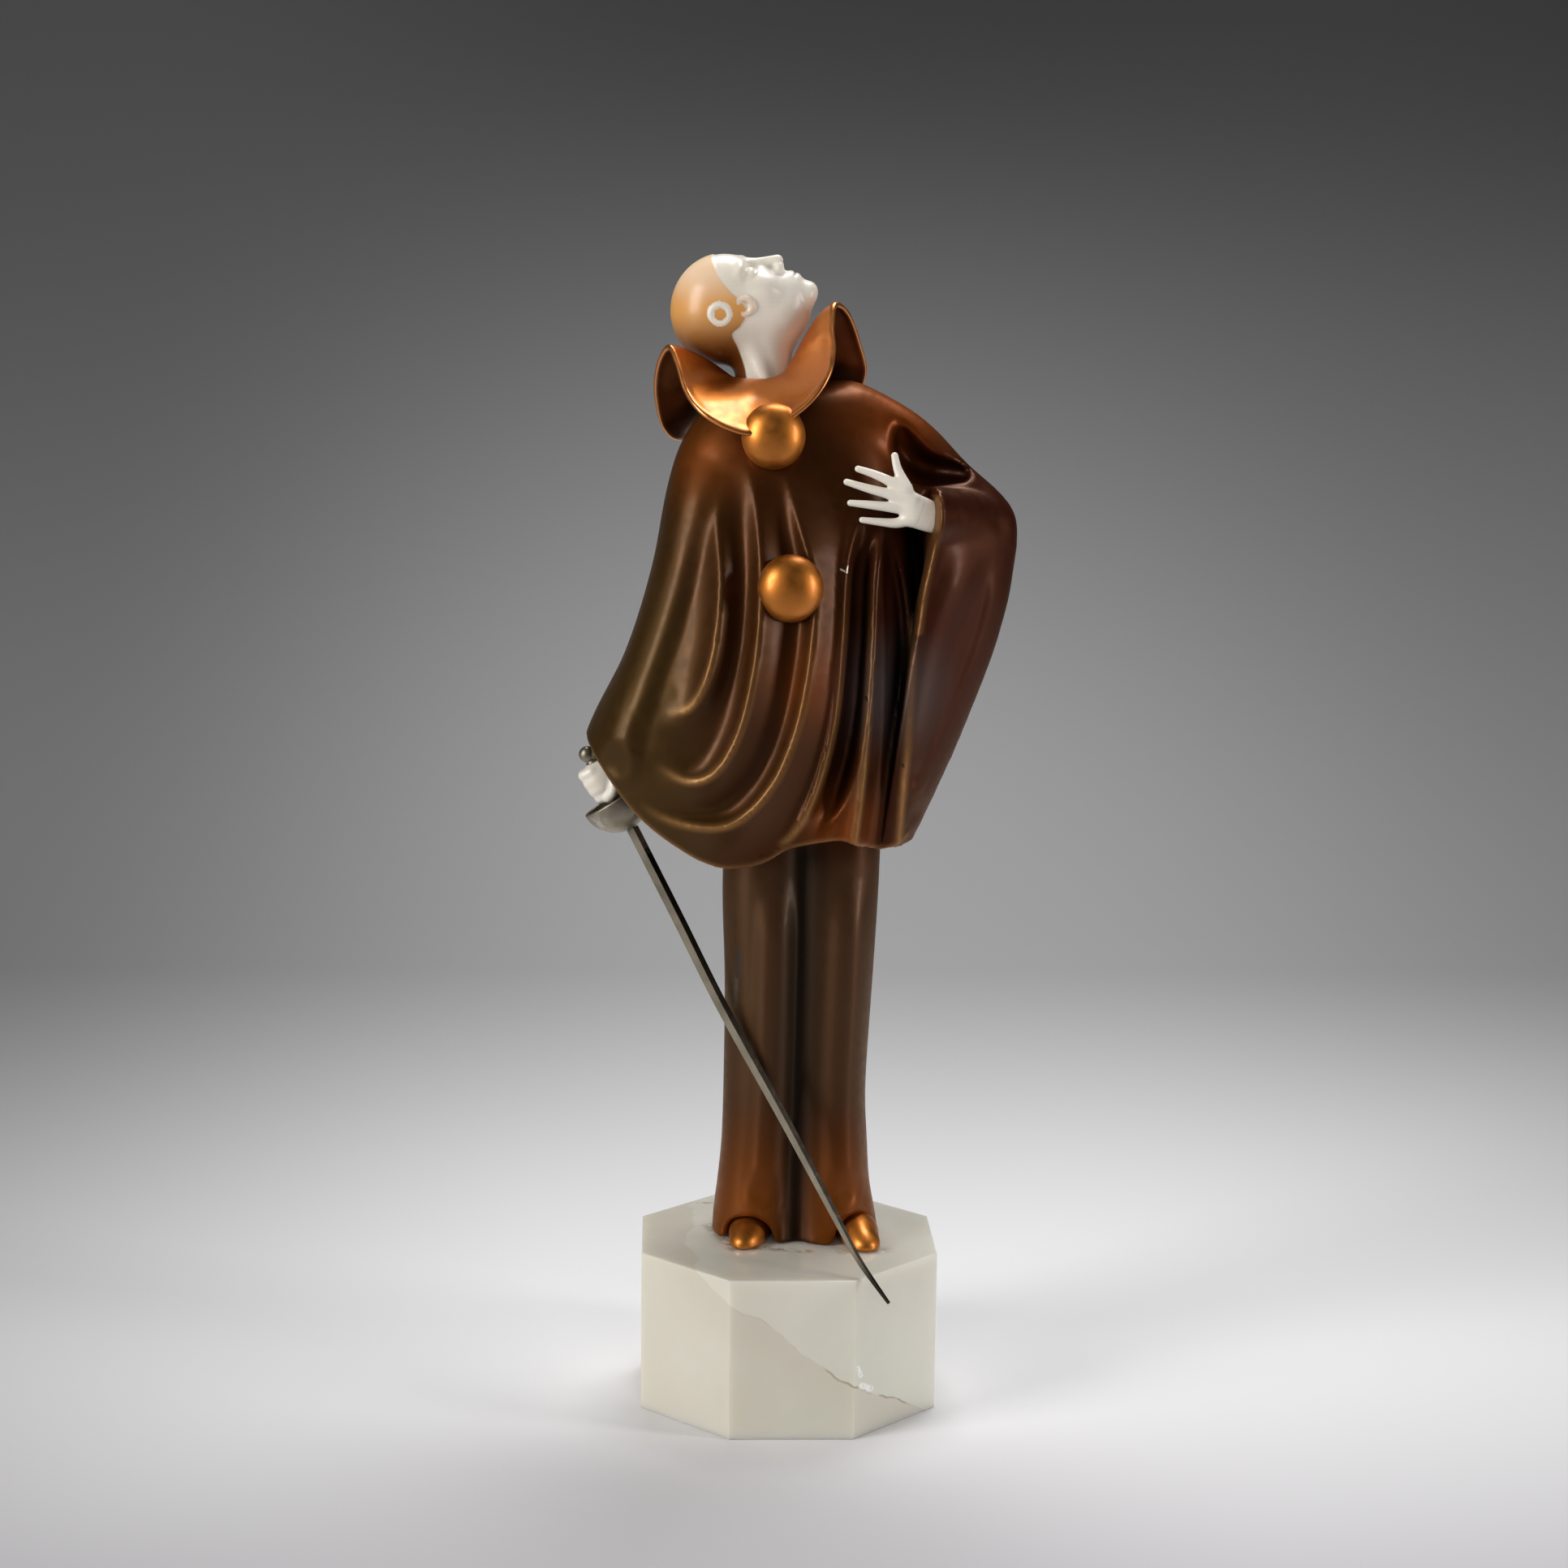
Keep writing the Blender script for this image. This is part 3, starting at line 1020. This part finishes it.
# %% Masses of the face
SKULL = (-1.5, 5, 0), (16.6, 15.6, 13.2)
LARGE_MASSES = [
    (merge, (3.6, -5.2, 0), (11.2, 14.6, 10.2), 4),  # front of the head
    (merge, (2.5, -12.5, 0), (9.2, 7.6, 8.2), 4),  # jaw
    (merge, (8.2, -4.6, 6.4), (4.6, 4.4, 4.0), 3),  # cheeks
    (merge, (9.0, -12.6, 0), (5.9, 5.0, 5.8), 2.5),  # mound of the mouth
    (merge, (10.0, -18.1, 0), (3.9, 3.1, 4.4), 2.2),  # chin
    (merge, (11.6, 3.6, 4.6), (2.9, 1.5, 4.4), 2.2),  # brows
    (carve, (15.2, 0.2, 5.3), (2.7, 1.9, 3.1), 1.8),  # eye sockets
]
MOUTH = [
    (carve, (16.0, -8.9, 1.25), (1.1, 0.7, 0.55), 0.4),  # nostrils
    (merge, (13.2, -11.75, 0), (2.1, 1.0, 3.5), 0.9),  # upper lip
    (merge, (12.9, -13.75, 0), (2.2, 1.15, 3.0), 0.9),  # lower lip
    (carve, (15.6, -12.72, 0), (1.6, 0.18, 3.6), 0.25),  # line between the lips
    (carve, (15.9, -10.4, 0), (1.2, 1.3, 0.55), 0.5),  # groove above the lips
]
BRIDGE = [[13.4, 2.6, 0, 1.3], [15.6, -2.4, 0, 1.35], [17.2, -6.6, 0, 1.75]]
NOSE_WINGS = (15.2, -7.7, 1.9), (2.0, 1.35, 1.3)
EYE = (10.9, -0.2, 5.3)
EYEBALL_RADII, LID_RADII = (2.9, 2.5, 3.0), (3.25, 2.8, 3.35)
LID_OPENING = (14.2, -0.75, 5.3), (2.6, 0.62, 2.35)
NECK = [[-11, 2, 309, 8.4], [-10.4, 2, 325, 8.4], [-10.2, 1.5, 336, 9]]
NECK_CORD = [[-17.5, -2.5, 336, 2.4], [-10.5, -6.2, 320, 1.4], [-7, -6.6, 312, 1.2]]
CAP_RISE = 0.35
# The border of the close cap, seen from the side as [forwards, up]: brow, front lock, ear and nape.
CAP_BORDER = smooth_line([[22, 14.5], [15, 13], [10, 9.6], [6.4, 4.5], [4.6, 0.5], [1.5, -1.8], [-2.5, -1], [-5.6, 0.6],
                          [-9, -2], [-13, -4.6], [-16.5, -6.7], [-26, -11]])
EAR_RING = (-0.6, 5.8, 12.7), 2.7, 0.95
CURL = (3.4, -0.6, 11.4), 2.3, 1.05


def cap_depth(f, u):
    """How far a place lies inside the cap's border, in mm."""
    return line_distance(CAP_BORDER, f, u)[0]


def head(x, y, z):
    f, u, s = head_place(x, y, z)
    t = np.abs(s)

    def worked(form, masses):
        for action, centre, radii, soft in masses:
            form = action(form, egg(f, u, t, centre, radii), soft)
        return form

    form = worked(egg(f, u, t, *SKULL), LARGE_MASSES)
    nose = merge(limb(f, u, s, BRIDGE), egg(f, u, t, *NOSE_WINGS), 0.9)
    form = worked(merge(form, nose, 1.6), MOUTH)
    lids = carve(egg(f, u, t, EYE, LID_RADII), egg(f, u, t, *LID_OPENING), 0.25)
    form = merge(form, np.minimum(egg(f, u, t, EYE, EYEBALL_RADII), lids), 0.35)
    over = egg(f, u, t, SKULL[0], [r + CAP_RISE for r in SKULL[1]])
    form = merge(form, within(over, -cap_depth(f, u), 0.5), 0.4)
    form = merge(form, merge(limb(x, y, z, NECK), limb(x, y, z, NECK_CORD), 3), 5)
    form = np.minimum(form, ring(f, u, t, *EAR_RING))
    return np.minimum(form, ring(f, u, t, *CURL))


def head_clear(x, y, z):
    """The head and neck down to the collar, which they stand free of."""
    return within(head(x, y, z), CROWN + 0.3 - z, 0.3)


# %% Head and neck
HEAD_CELL = 0.36
low, high = box_of("head_and_neck")
points, faces = skin(head_clear, low - 2, high + 2, HEAD_CELL)
f, u, s = head_place(*points.T)
inside_cap = ease(-0.15, 0.25, cap_depth(f, u)) * (u > -24) * (points[:, 2] > 318)
on_ring = ring(f, u, np.abs(s), *EAR_RING) < 0.2
on_curl = ring(f, u, np.abs(s), *CURL) < 0.2
values = {
    "shelter": shelter(head_clear, points, (1, 2, 3.5)),
    "stain": np.where(on_ring, 0, np.where(on_curl, 0.25, inside_cap)),
    "depth": np.clip((351 - points[:, 2]) / 25, 0, 1),
}
piece("carved_head", points, faces, ivory, ["head_and_neck"], values)

# %% [markdown]
# ## Hands
# The left hand lies spread on the chest and the right one closes round the grip of the foil. Fingers are limbs with a
# thicker place at each joint, merged into the palm.

# %% Hand on the chest
# Each finger from its tip as [x, z, radius], laid back on the chest step by step. The palm's end is a share of the way
# from the last place to the wrist.
FINGERS = [
    [[17.1, 293.7, 0.95], [22.4, 292, 1.25], [28, 289.3, 1.6]],
    [[13.8, 289.8, 0.95], [20, 288, 1.25], [27.4, 286.1, 1.65]],
    [[15, 283.6, 0.95], [21, 283.1, 1.25], [28.2, 282.4, 1.65]],
    [[18.6, 278.6, 0.9], [23.5, 278.1, 1.15], [29.2, 277.9, 1.55]],
]
TIP_Y, FINGER_LEAN = -24.5, 0.35
THUMB = [[28, -23.5, 297.6, 1.05], [29, -24, 293.5, 1.3], [31.4, -25, 288.4, 1.9]]
WRIST = [[35, -25.6, 281.2, 4.9], [39.5, -24.6, 279.6, 4.6], [42.5, -22, 279.2, 4.4]]
PALM_X, PALM_Y, PALM_Z, _ = WRIST[0]
PALM_BONE = 2.1
HAND_CELL, HAND_REACHES = 0.28, (0.8, 1.6)


def chest_hand(x, y, z):
    whole = limb(x, y, z, WRIST, deep=0.55)
    for stations in FINGERS:
        laid = [[px, TIP_Y - FINGER_LEAN * i, pz, r] for i, (px, pz, r) in enumerate(stations)]
        ex, ez, _ = stations[-1]
        laid.append([ex + (PALM_X - ex) * 0.8, PALM_Y, ez + (PALM_Z - ez) * 0.55, PALM_BONE])
        whole = merge(whole, limb(x, y, z, laid), 1.2)
    return merge(whole, limb(x, y, z, THUMB), 1.6)


def carved_hand(name, field, low, high, cell, node_name):
    points, faces = skin(field, low, high, cell)
    plain = np.zeros(len(points))
    values = {"shelter": shelter(field, points, HAND_REACHES), "stain": plain, "depth": plain}
    piece(name, points, faces, ivory, [node_name], values)


low, high = box_of("hand_on_chest")
carved_hand("carved_chest_hand", chest_hand, low - 1.5, high + 1.5, HAND_CELL, "hand_on_chest")

# %% Fist on the foil
GRIP_TOP = np.array([-63.6, 2, 203.6])
CUP_BOTTOM = np.array([-49.6, 1, 180.8])
GRIP_AXIS = (CUP_BOTTOM - GRIP_TOP) / np.linalg.norm(CUP_BOTTOM - GRIP_TOP)
FIST_OUT = np.array([GRIP_AXIS[2], 0, -GRIP_AXIS[0]]) / math.hypot(GRIP_AXIS[0], GRIP_AXIS[2])
FIST_MIDDLE = GRIP_TOP + (CUP_BOTTOM - GRIP_TOP) * 0.36
FINGER_PITCH, KNUCKLE_OUT, KNUCKLE_STEP = 2.9, 4.1, 0.25
# Joints from the middle of the fist as [along the grip, outwards, back, radius].
FIST_WRIST = [[0, -2, 0.8, 4.2], [-6, -9, 1, 4.4], [-12, -16, 1, 4.6]]
FIST_THUMB = [[1.5, -3.5, -3.6, 1.7], [4, -1, -4, 1.5], [5, 1.2, -3.4, 1.3]]


def in_fist(joints):
    """Joints of the fist as stations of a limb."""
    depth_axis = np.array([0, 1, 0])
    return [[*(FIST_MIDDLE + GRIP_AXIS * along + FIST_OUT * out + depth_axis * back), radius]
            for along, out, back, radius in joints]


def fist(x, y, z):
    dx, dy, dz = x - FIST_MIDDLE[0], y - FIST_MIDDLE[1], z - FIST_MIDDLE[2]
    along = GRIP_AXIS[0] * dx + GRIP_AXIS[1] * dy + GRIP_AXIS[2] * dz
    out = FIST_OUT[0] * dx + FIST_OUT[2] * dz
    whole = egg(out, dy, along, (0.5, 0.2, -0.4), (5.3, 4.8, 6.7))
    for i in range(4):
        place, reach = (i - 1.6) * FINGER_PITCH, KNUCKLE_OUT - KNUCKLE_STEP * i
        joints = in_fist([[place, reach - 2.6, -2.6, 1.5], [place, reach, -1.4, 1.7], [place, reach, 1.4, 1.7]])
        whole = merge(whole, limb(x, y, z, joints), 1.1)
    whole = merge(whole, limb(x, y, z, in_fist(FIST_WRIST)), 2)
    return merge(whole, limb(x, y, z, in_fist(FIST_THUMB)), 1.4)


low, high = box_of("sword_hand")
carved_hand("carved_sword_hand", fist, low - 4, high + (14, 6, 14), 0.3, "sword_hand")

# %% [markdown]
# ## Growing shapes from rules
# The blade, the buttons and the plinth each follow a rule, so a tree of geometry nodes makes them: its named inputs are
# the sizes, and what it makes becomes a plain mesh.

# %% Trees of geometry nodes
def empty_tree(name, sizes):
    """A tree with named number inputs after its geometry and material, and the sockets of its inputs."""
    tree = bpy.data.node_groups.new(name, "GeometryNodeTree")
    tree.interface.new_socket("Geometry", in_out="INPUT", socket_type="NodeSocketGeometry")
    tree.interface.new_socket("Geometry", in_out="OUTPUT", socket_type="NodeSocketGeometry")
    tree.interface.new_socket("Material", in_out="INPUT", socket_type="NodeSocketMaterial")
    for size in sizes:
        tree.interface.new_socket(size, in_out="INPUT", socket_type="NodeSocketFloat")
    return tree, tree.nodes.new("NodeGroupInput").outputs


def swept(tree, line, outline, size):
    """An outline drawn along a line, size times as large, with closed ends."""
    radius = node(tree, "GeometryNodeSetCurveRadius", Curve=line, Radius=size).outputs[0]
    sweep = node(tree, "GeometryNodeCurveToMesh", Curve=radius, Profile_Curve=outline, Fill_Caps=True)
    if "Scale" in sweep.inputs:
        fill(sweep.inputs["Scale"], size)
    return sweep.outputs[0]


def polygon(tree, sides, turn):
    """A regular outline of radius 1, turned by an angle."""
    circle = node(tree, "GeometryNodeCurvePrimitiveCircle", Resolution=sides, Radius=1.0).outputs[0]
    return node(tree, "GeometryNodeTransform", Geometry=circle, Rotation=(0, 0, turn)).outputs[0]


def end_tree(tree, given, geometry):
    realize = node(tree, "GeometryNodeRealizeInstances", in_0=geometry).outputs[0]
    paint = node(tree, "GeometryNodeSetMaterial", Geometry=realize, Material=given["Material"]).outputs[0]
    node(tree, "NodeGroupOutput", in_0=paint)


def grow(name, tree, material, sizes, base=None):
    """Runs a tree on an object and turns what it makes into a plain mesh object."""
    holder = bpy.data.objects.new(name, base or bpy.data.meshes.new(name))
    bpy.context.scene.collection.objects.link(holder)
    modifier = holder.modifiers.new("shape", "NODES")
    modifier.node_group = tree
    for item in tree.interface.items_tree:
        if item.in_out == "INPUT" and item.name in sizes:
            modifier[item.identifier] = float(sizes[item.name])
        elif item.in_out == "INPUT" and item.name == "Material":
            modifier[item.identifier] = material
    bpy.context.view_layer.update()
    shape = bpy.data.meshes.new_from_object(holder.evaluated_get(bpy.context.evaluated_depsgraph_get()))
    holder.modifiers.remove(modifier)
    old, holder.data = holder.data, shape
    shape.name = name
    bpy.data.meshes.remove(old)
    return holder


# %% [markdown]
# ## Foil
# The blade is a thin square bar that is drawn out towards its tip and bows forwards over the edge of the plinth. A path
# and a small square section make it: the tree sweeps the one along the other and thins it by the path's length.

# %% Blade
BLADE_PATH = [
    CUP_BOTTOM.tolist(), [-35.4, -2, 153.2], [-21.4, -7, 126], [-2.3, -19, 93.5], [13.4, -34, 66.6], [20, -41.5, 55.7],
    [28.6, -52.5, 45.7],
]
BLADE_SIDE = 2.7
BLADE_ROLL = math.radians(68)  # turns a face and an edge to the front
TIP_THINNING, THINNING_POWER = 0.72, 3.5  # the share that the tip loses, and how late it loses it

tree, given = empty_tree("drawn blade", ["Corner", "Thinning", "Power"])
along = node(tree, "GeometryNodeSplineParameter").outputs["Factor"]
thinner = minus(1.0, times(computed("POWER", along, given["Power"]), given["Thinning"]))
line = node(tree, "GeometryNodeMeshToCurve", in_0=given["Geometry"]).outputs[0]
end_tree(tree, given, swept(tree, line, polygon(tree, 4, BLADE_ROLL), times(thinner, given["Corner"])))

path = smooth_line(BLADE_PATH, 16) * MM
spine = bpy.data.meshes.new("blade path")
spine.from_pydata(path.tolist(), [(i, i + 1) for i in range(len(path) - 1)], [])
sizes = {"Corner": BLADE_SIDE / math.sqrt(2) * MM, "Thinning": TIP_THINNING, "Power": THINNING_POWER}
blade = grow("silver_foil", tree, silver, sizes, spine)
print("the blade has", len(blade.data.polygons), "faces")

# %% [markdown]
# The guard is a deep bowl, the grip is wound with wire, and a small ball ends it. All three are turned shapes on the
# foil's axis, so one function turns a profile into each of them. Their places count from the bottom of the bowl.

# %% Guard, grip and pommel
def turned(profile, segments):
    """A turned shape along the foil's axis from [distance, radius] pairs that start and end on the axis."""
    side_a = np.cross(GRIP_AXIS, [0, 1, 0])
    side_a /= np.linalg.norm(side_a)
    side_b = np.cross(GRIP_AXIS, side_a)
    a = np.linspace(0, 2 * np.pi, segments, endpoint=False)[:, None]
    around = np.cos(a) * side_a + np.sin(a) * side_b
    rings = [CUP_BOTTOM + GRIP_AXIS * place + radius * around for place, radius in profile[1:-1]]
    points = np.vstack(rings + [CUP_BOTTOM + GRIP_AXIS * profile[k][0] for k in (0, -1)])
    start, end = len(points) - 2, len(points) - 1
    last = (len(rings) - 1) * segments
    faces = []
    for i in range(segments):
        j = (i + 1) % segments
        faces += [(r + i, r + j, r + segments + j, r + segments + i) for r in range(0, last, segments)]
        faces += [(start, j, i), (end, last + i, last + j)]
    return points, faces


CUP_RADIUS, CUP_WALL, GRIP_RADIUS, GRIP_LENGTH, POMMEL_RADIUS = 10.5, 1.1, 1.9, 26, 2.6
WIRE_RISE, WIRE_PITCH, WIRE_TURNS, LIP_START = 0.18, 0.5, 48, 0.4


def bowl(radius, angles):
    return [(radius * math.cos(a) - CUP_RADIUS, radius * math.sin(a)) for a in angles]


arc = np.linspace(0, np.pi / 2, 22)
lip = [(CUP_WALL * 0.45 * -math.sin(a) - CUP_RADIUS, CUP_RADIUS - CUP_WALL / 2 + CUP_WALL / 2 * math.cos(a))
       for a in np.linspace(LIP_START, np.pi - LIP_START, 6)]
cup = bowl(CUP_RADIUS, arc) + lip + bowl(CUP_RADIUS - CUP_WALL, arc[::-1])
wire = [(-1 - i * WIRE_PITCH, GRIP_RADIUS + WIRE_RISE * math.cos(i * math.pi)) for i in range(WIRE_TURNS)]
grip = [(-0.5, 0), (-0.5, GRIP_RADIUS)] + wire + [(-GRIP_LENGTH, GRIP_RADIUS), (-GRIP_LENGTH, 0)]
span = np.linalg.norm(CUP_BOTTOM - GRIP_TOP)
pommel = [(-span + POMMEL_RADIUS * math.cos(a), POMMEL_RADIUS * math.sin(a)) for a in np.linspace(0, np.pi, 19)]
parts = []
for name, profile, segments in (("guard", cup, 64), ("grip", grip, 24), ("pommel", pommel, 24)):
    points, faces = turned(profile, segments)
    mesh = bpy.data.meshes.new(name)
    mesh.from_pydata((points * MM).tolist(), [], faces)
    mesh.validate()
    mesh.materials.append(silver)
    made = bpy.data.objects.new(name, mesh)
    bpy.context.scene.collection.objects.link(made)
    parts.append(made)
    print(name, len(faces), "faces")

# %% [markdown]
# The four silver parts become one piece. Tarnish goes by the face: the faces that turn away to the right are brown high
# on the blade and paler lower down, and the tip is brown all round.

# %% One foil
bpy.context.view_layer.update()
for made in bpy.context.selected_objects:
    made.select_set(False)
for made in parts + [blade]:
    made.select_set(True)
bpy.context.view_layer.objects.active = blade
bpy.ops.object.join()
bpy.ops.object.mode_set(mode="EDIT")
bpy.ops.mesh.select_all(action="SELECT")
bpy.ops.mesh.normals_make_consistent(inside=False)
bpy.ops.object.mode_set(mode="OBJECT")
blade.data.shade_smooth()
blade.data.set_sharp_from_angle(angle=math.radians(40))
blade.select_set(False)
heights = np.array([p.center.z for p in blade.data.polygons]) / MM
facing = np.array([p.normal.x for p in blade.data.polygons])
tarnish = (0.1 + ease(0.2, 0.45, facing) * (0.2 + 0.7 * ease(80, 150, heights))) * ease(178, 172, heights)
tarnish = np.maximum(ease(60, 50, heights) * 0.95, tarnish)
blade.data.attributes.new("tarnish", "FLOAT", "FACE").data.foreach_set("value", tarnish.astype(np.float32))
dress(blade, ["foil"])

# %% [markdown]
# ## Buttons
# Two domed buttons of the same kind sit on the front. One tree makes both: a ball is flattened, drawn a little taller
# and leaned back, and its inputs give each button its place and size.

# %% Buttons
BUTTON_RADIUS, BUTTON_DEPTH, BUTTON_TALLER, BUTTON_LEAN = 9.5, 7.2, 1.04, 0.12
BUTTONS = {"upper_button": ((-8, -23.5, 303), 1.0), "lower_button": ((-2.8, -33, 258.8), 1.03)}  # middle and grade

tree, given = empty_tree("domed button", ["Radius", "Depth", "Taller", "Lean", "X", "Y", "Z"])
ball = node(tree, "GeometryNodeMeshIcoSphere", Radius=1.0, Subdivisions=5).outputs["Mesh"]
tall = times(given["Radius"], given["Taller"])
size = node(tree, "ShaderNodeCombineXYZ", X=given["Radius"], Y=given["Depth"], Z=tall).outputs[0]
spot = node(tree, "ShaderNodeCombineXYZ", X=given["X"], Y=given["Y"], Z=given["Z"]).outputs[0]
lean = node(tree, "ShaderNodeCombineXYZ", X=given["Lean"]).outputs[0]
dome = node(tree, "GeometryNodeTransform", Geometry=ball, Scale=size).outputs[0]
placed = node(tree, "GeometryNodeTransform", Geometry=dome, Rotation=lean, Translation=spot).outputs[0]
end_tree(tree, given, placed)

for name, (place, grade) in BUTTONS.items():
    sizes = {"Radius": BUTTON_RADIUS * grade * MM, "Depth": BUTTON_DEPTH * grade * MM, "Taller": BUTTON_TALLER,
             "Lean": BUTTON_LEAN}
    sizes |= {key: v * MM for key, v in zip("XYZ", place)}
    button = grow("domed_" + name, tree, gilt, sizes)
    button.data.shade_smooth()
    dress(button, [name])

# %% [markdown]
# ## Plinth
# The plinth is a straight octagonal block of onyx with a finely ground edge. A rule gives its whole form: an octagon
# swept up a line, drawn in over the bevel at both ends. The tree sets each station's height and width from the sizes.

# %% Plinth
PLINTH_SIDES, GROUND_EDGE, EDGE_STEPS = 8, 0.4, 5

tree, given = empty_tree("eight sided block", ["Width", "Height", "Edge", "Steps"])
line = node(tree, "GeometryNodeMeshLine", mode="OFFSET", Count=times(given["Steps"], 2.0)).outputs[0]
index = node(tree, "GeometryNodeInputIndex").outputs[0]
last = minus(given["Steps"], 1.0)
mirrored = minus(plus(times(last, 2.0), 1.0), index)
angle = times(computed("DIVIDE", computed("MINIMUM", index, mirrored), last), math.pi / 2)
rise = times(given["Edge"], minus(1.0, computed("COSINE", angle)))
draw_in = times(given["Edge"], minus(1.0, computed("SINE", angle)))
from_top = minus(given["Height"], rise)
upper_half = computed("GREATER_THAN", index, last)
height = node(tree, "GeometryNodeSwitch", input_type="FLOAT", in_0=upper_half, in_1=rise, in_2=from_top).outputs[0]
station = node(tree, "ShaderNodeCombineXYZ", Z=height).outputs[0]
moved = node(tree, "GeometryNodeSetPosition", Geometry=line, Position=station).outputs[0]
upwards = node(tree, "GeometryNodeMeshToCurve", in_0=moved).outputs[0]
half_turn = math.pi / PLINTH_SIDES
corner = computed("DIVIDE", minus(computed("DIVIDE", given["Width"], 2.0), draw_in), math.cos(half_turn))
end_tree(tree, given, swept(tree, upwards, polygon(tree, PLINTH_SIDES, half_turn), corner))

low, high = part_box("plinth")
sizes = {"Width": high.x - low.x, "Height": high.z, "Edge": GROUND_EDGE * MM, "Steps": EDGE_STEPS}
plinth = grow("onyx_plinth", tree, onyx, sizes)
plinth.data.shade_smooth()
plinth.data.set_sharp_from_angle(angle=math.radians(30))
dress(plinth, ["plinth"])

# %% [markdown]
# ## Setting
# A pale table runs up into a plain grey backdrop. Wide soft lamps stand left, right and above, as in a studio, and the
# backdrop gets less light than the table.

# %% Table and backdrop
TABLE_FRONT, TABLE_BACK, BEND_RADIUS, BACKDROP_HEIGHT, TABLE_HALF = -1.4, 1.1, 0.5, 2.4, 2.6  # metres
PAPER_FRONT, PAPER = (0.40, 0.39, 0.415), (0.92, 0.915, 0.93)
PAPER_BACK, PAPER_HIGH, PAPER_SIDE = (0.26, 0.26, 0.265), (0.068, 0.07, 0.07), (0.12, 0.12, 0.125)

bend = TABLE_BACK - BEND_RADIUS
profile = [(TABLE_FRONT, 0), (bend, 0)]
arc = np.linspace(0.05, math.pi / 2, 16)
profile += [(bend + BEND_RADIUS * math.sin(a), BEND_RADIUS * (1 - math.cos(a))) for a in arc]
profile.append((TABLE_BACK, BACKDROP_HEIGHT))
points = [(side * TABLE_HALF, y, z) for y, z in profile for side in (-1, 1)]
mesh = bpy.data.meshes.new("table")
mesh.from_pydata(points, [], [(2 * i, 2 * i + 1, 2 * i + 3, 2 * i + 2) for i in range(len(profile) - 1)])
mesh.shade_smooth()
paper, tree, shader = finish("table_paper", roughness=0.6)
x, y, z = xyz(tree)
colour = mixed(scaled(y, -0.3, 0.06), PAPER_FRONT, PAPER)
colour = mixed(scaled(y, 0.06, 0.6, 0, 0.4), colour, PAPER_BACK)
colour = mixed(scaled(z, 0.02, 0.55), colour, PAPER_HIGH)
for near_x, far_x, share in ((0.02, -0.42, 0.6), (0.12, 0.5, 0.25)):
    colour = mixed(scaled(x, near_x, far_x, 0, share), colour, PAPER_SIDE)
cover(shader, colour)
mesh.materials.append(paper)
table = bpy.data.objects.new("table", mesh)
bpy.context.scene.collection.objects.link(table)
table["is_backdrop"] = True
print("the table has", len(mesh.polygons), "strips")


# %% Lamps
def lamp(name, place, target, size, power, colour=(1, 1, 1)):
    """A soft oblong lamp at a place, in metres, turned to its target."""
    data = bpy.data.lights.new(name, "AREA")
    data.shape, data.size, data.size_y = "RECTANGLE", *size
    data.energy, data.color = power, colour
    made = bpy.data.objects.new(name, data)
    made.location = place
    made.rotation_euler = (Vector(target) - Vector(place)).to_track_quat("-Z", "Y").to_euler()
    bpy.context.scene.collection.objects.link(made)
    print(name, power, "W")
    return made


lamp("key", (-0.9, -0.5, 0.52), (0, 0, 0.2), (0.4, 0.8), 9.0, (1, 0.985, 0.96))
lamp("right strip", (0.85, -0.32, 0.34), (0, 0, 0.18), (0.16, 0.6), 3.4, (1, 0.98, 0.97))
fill_lamp = lamp("front fill", (0, -1.35, 0.75), (0, 0, 0.12), (0.9, 0.5), 4.0, (1, 0.99, 0.98))
fill_lamp.visible_glossy = False
overhead = lamp("overhead", (0.12, 0.36, 1.12), (0, -0.05, 0.05), (0.6, 0.5), 3.3)
overhead.data.spread = math.radians(115)
world = bpy.data.worlds.new("studio")
world.use_nodes = True
world.node_tree.nodes["Background"].inputs["Color"].default_value = (0.5, 0.5, 0.53, 1)
world.node_tree.nodes["Background"].inputs["Strength"].default_value = 0.08
bpy.context.scene.world = world
bpy.context.scene.view_settings.view_transform = "Standard"

# %% Finish
size = {"cad": [list(corner) for corner in CAD_BOX], "visual": [list(corner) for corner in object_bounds()]}
print("visual box, mm:", [[round(v / MM, 1) for v in corner] for corner in size["visual"]])
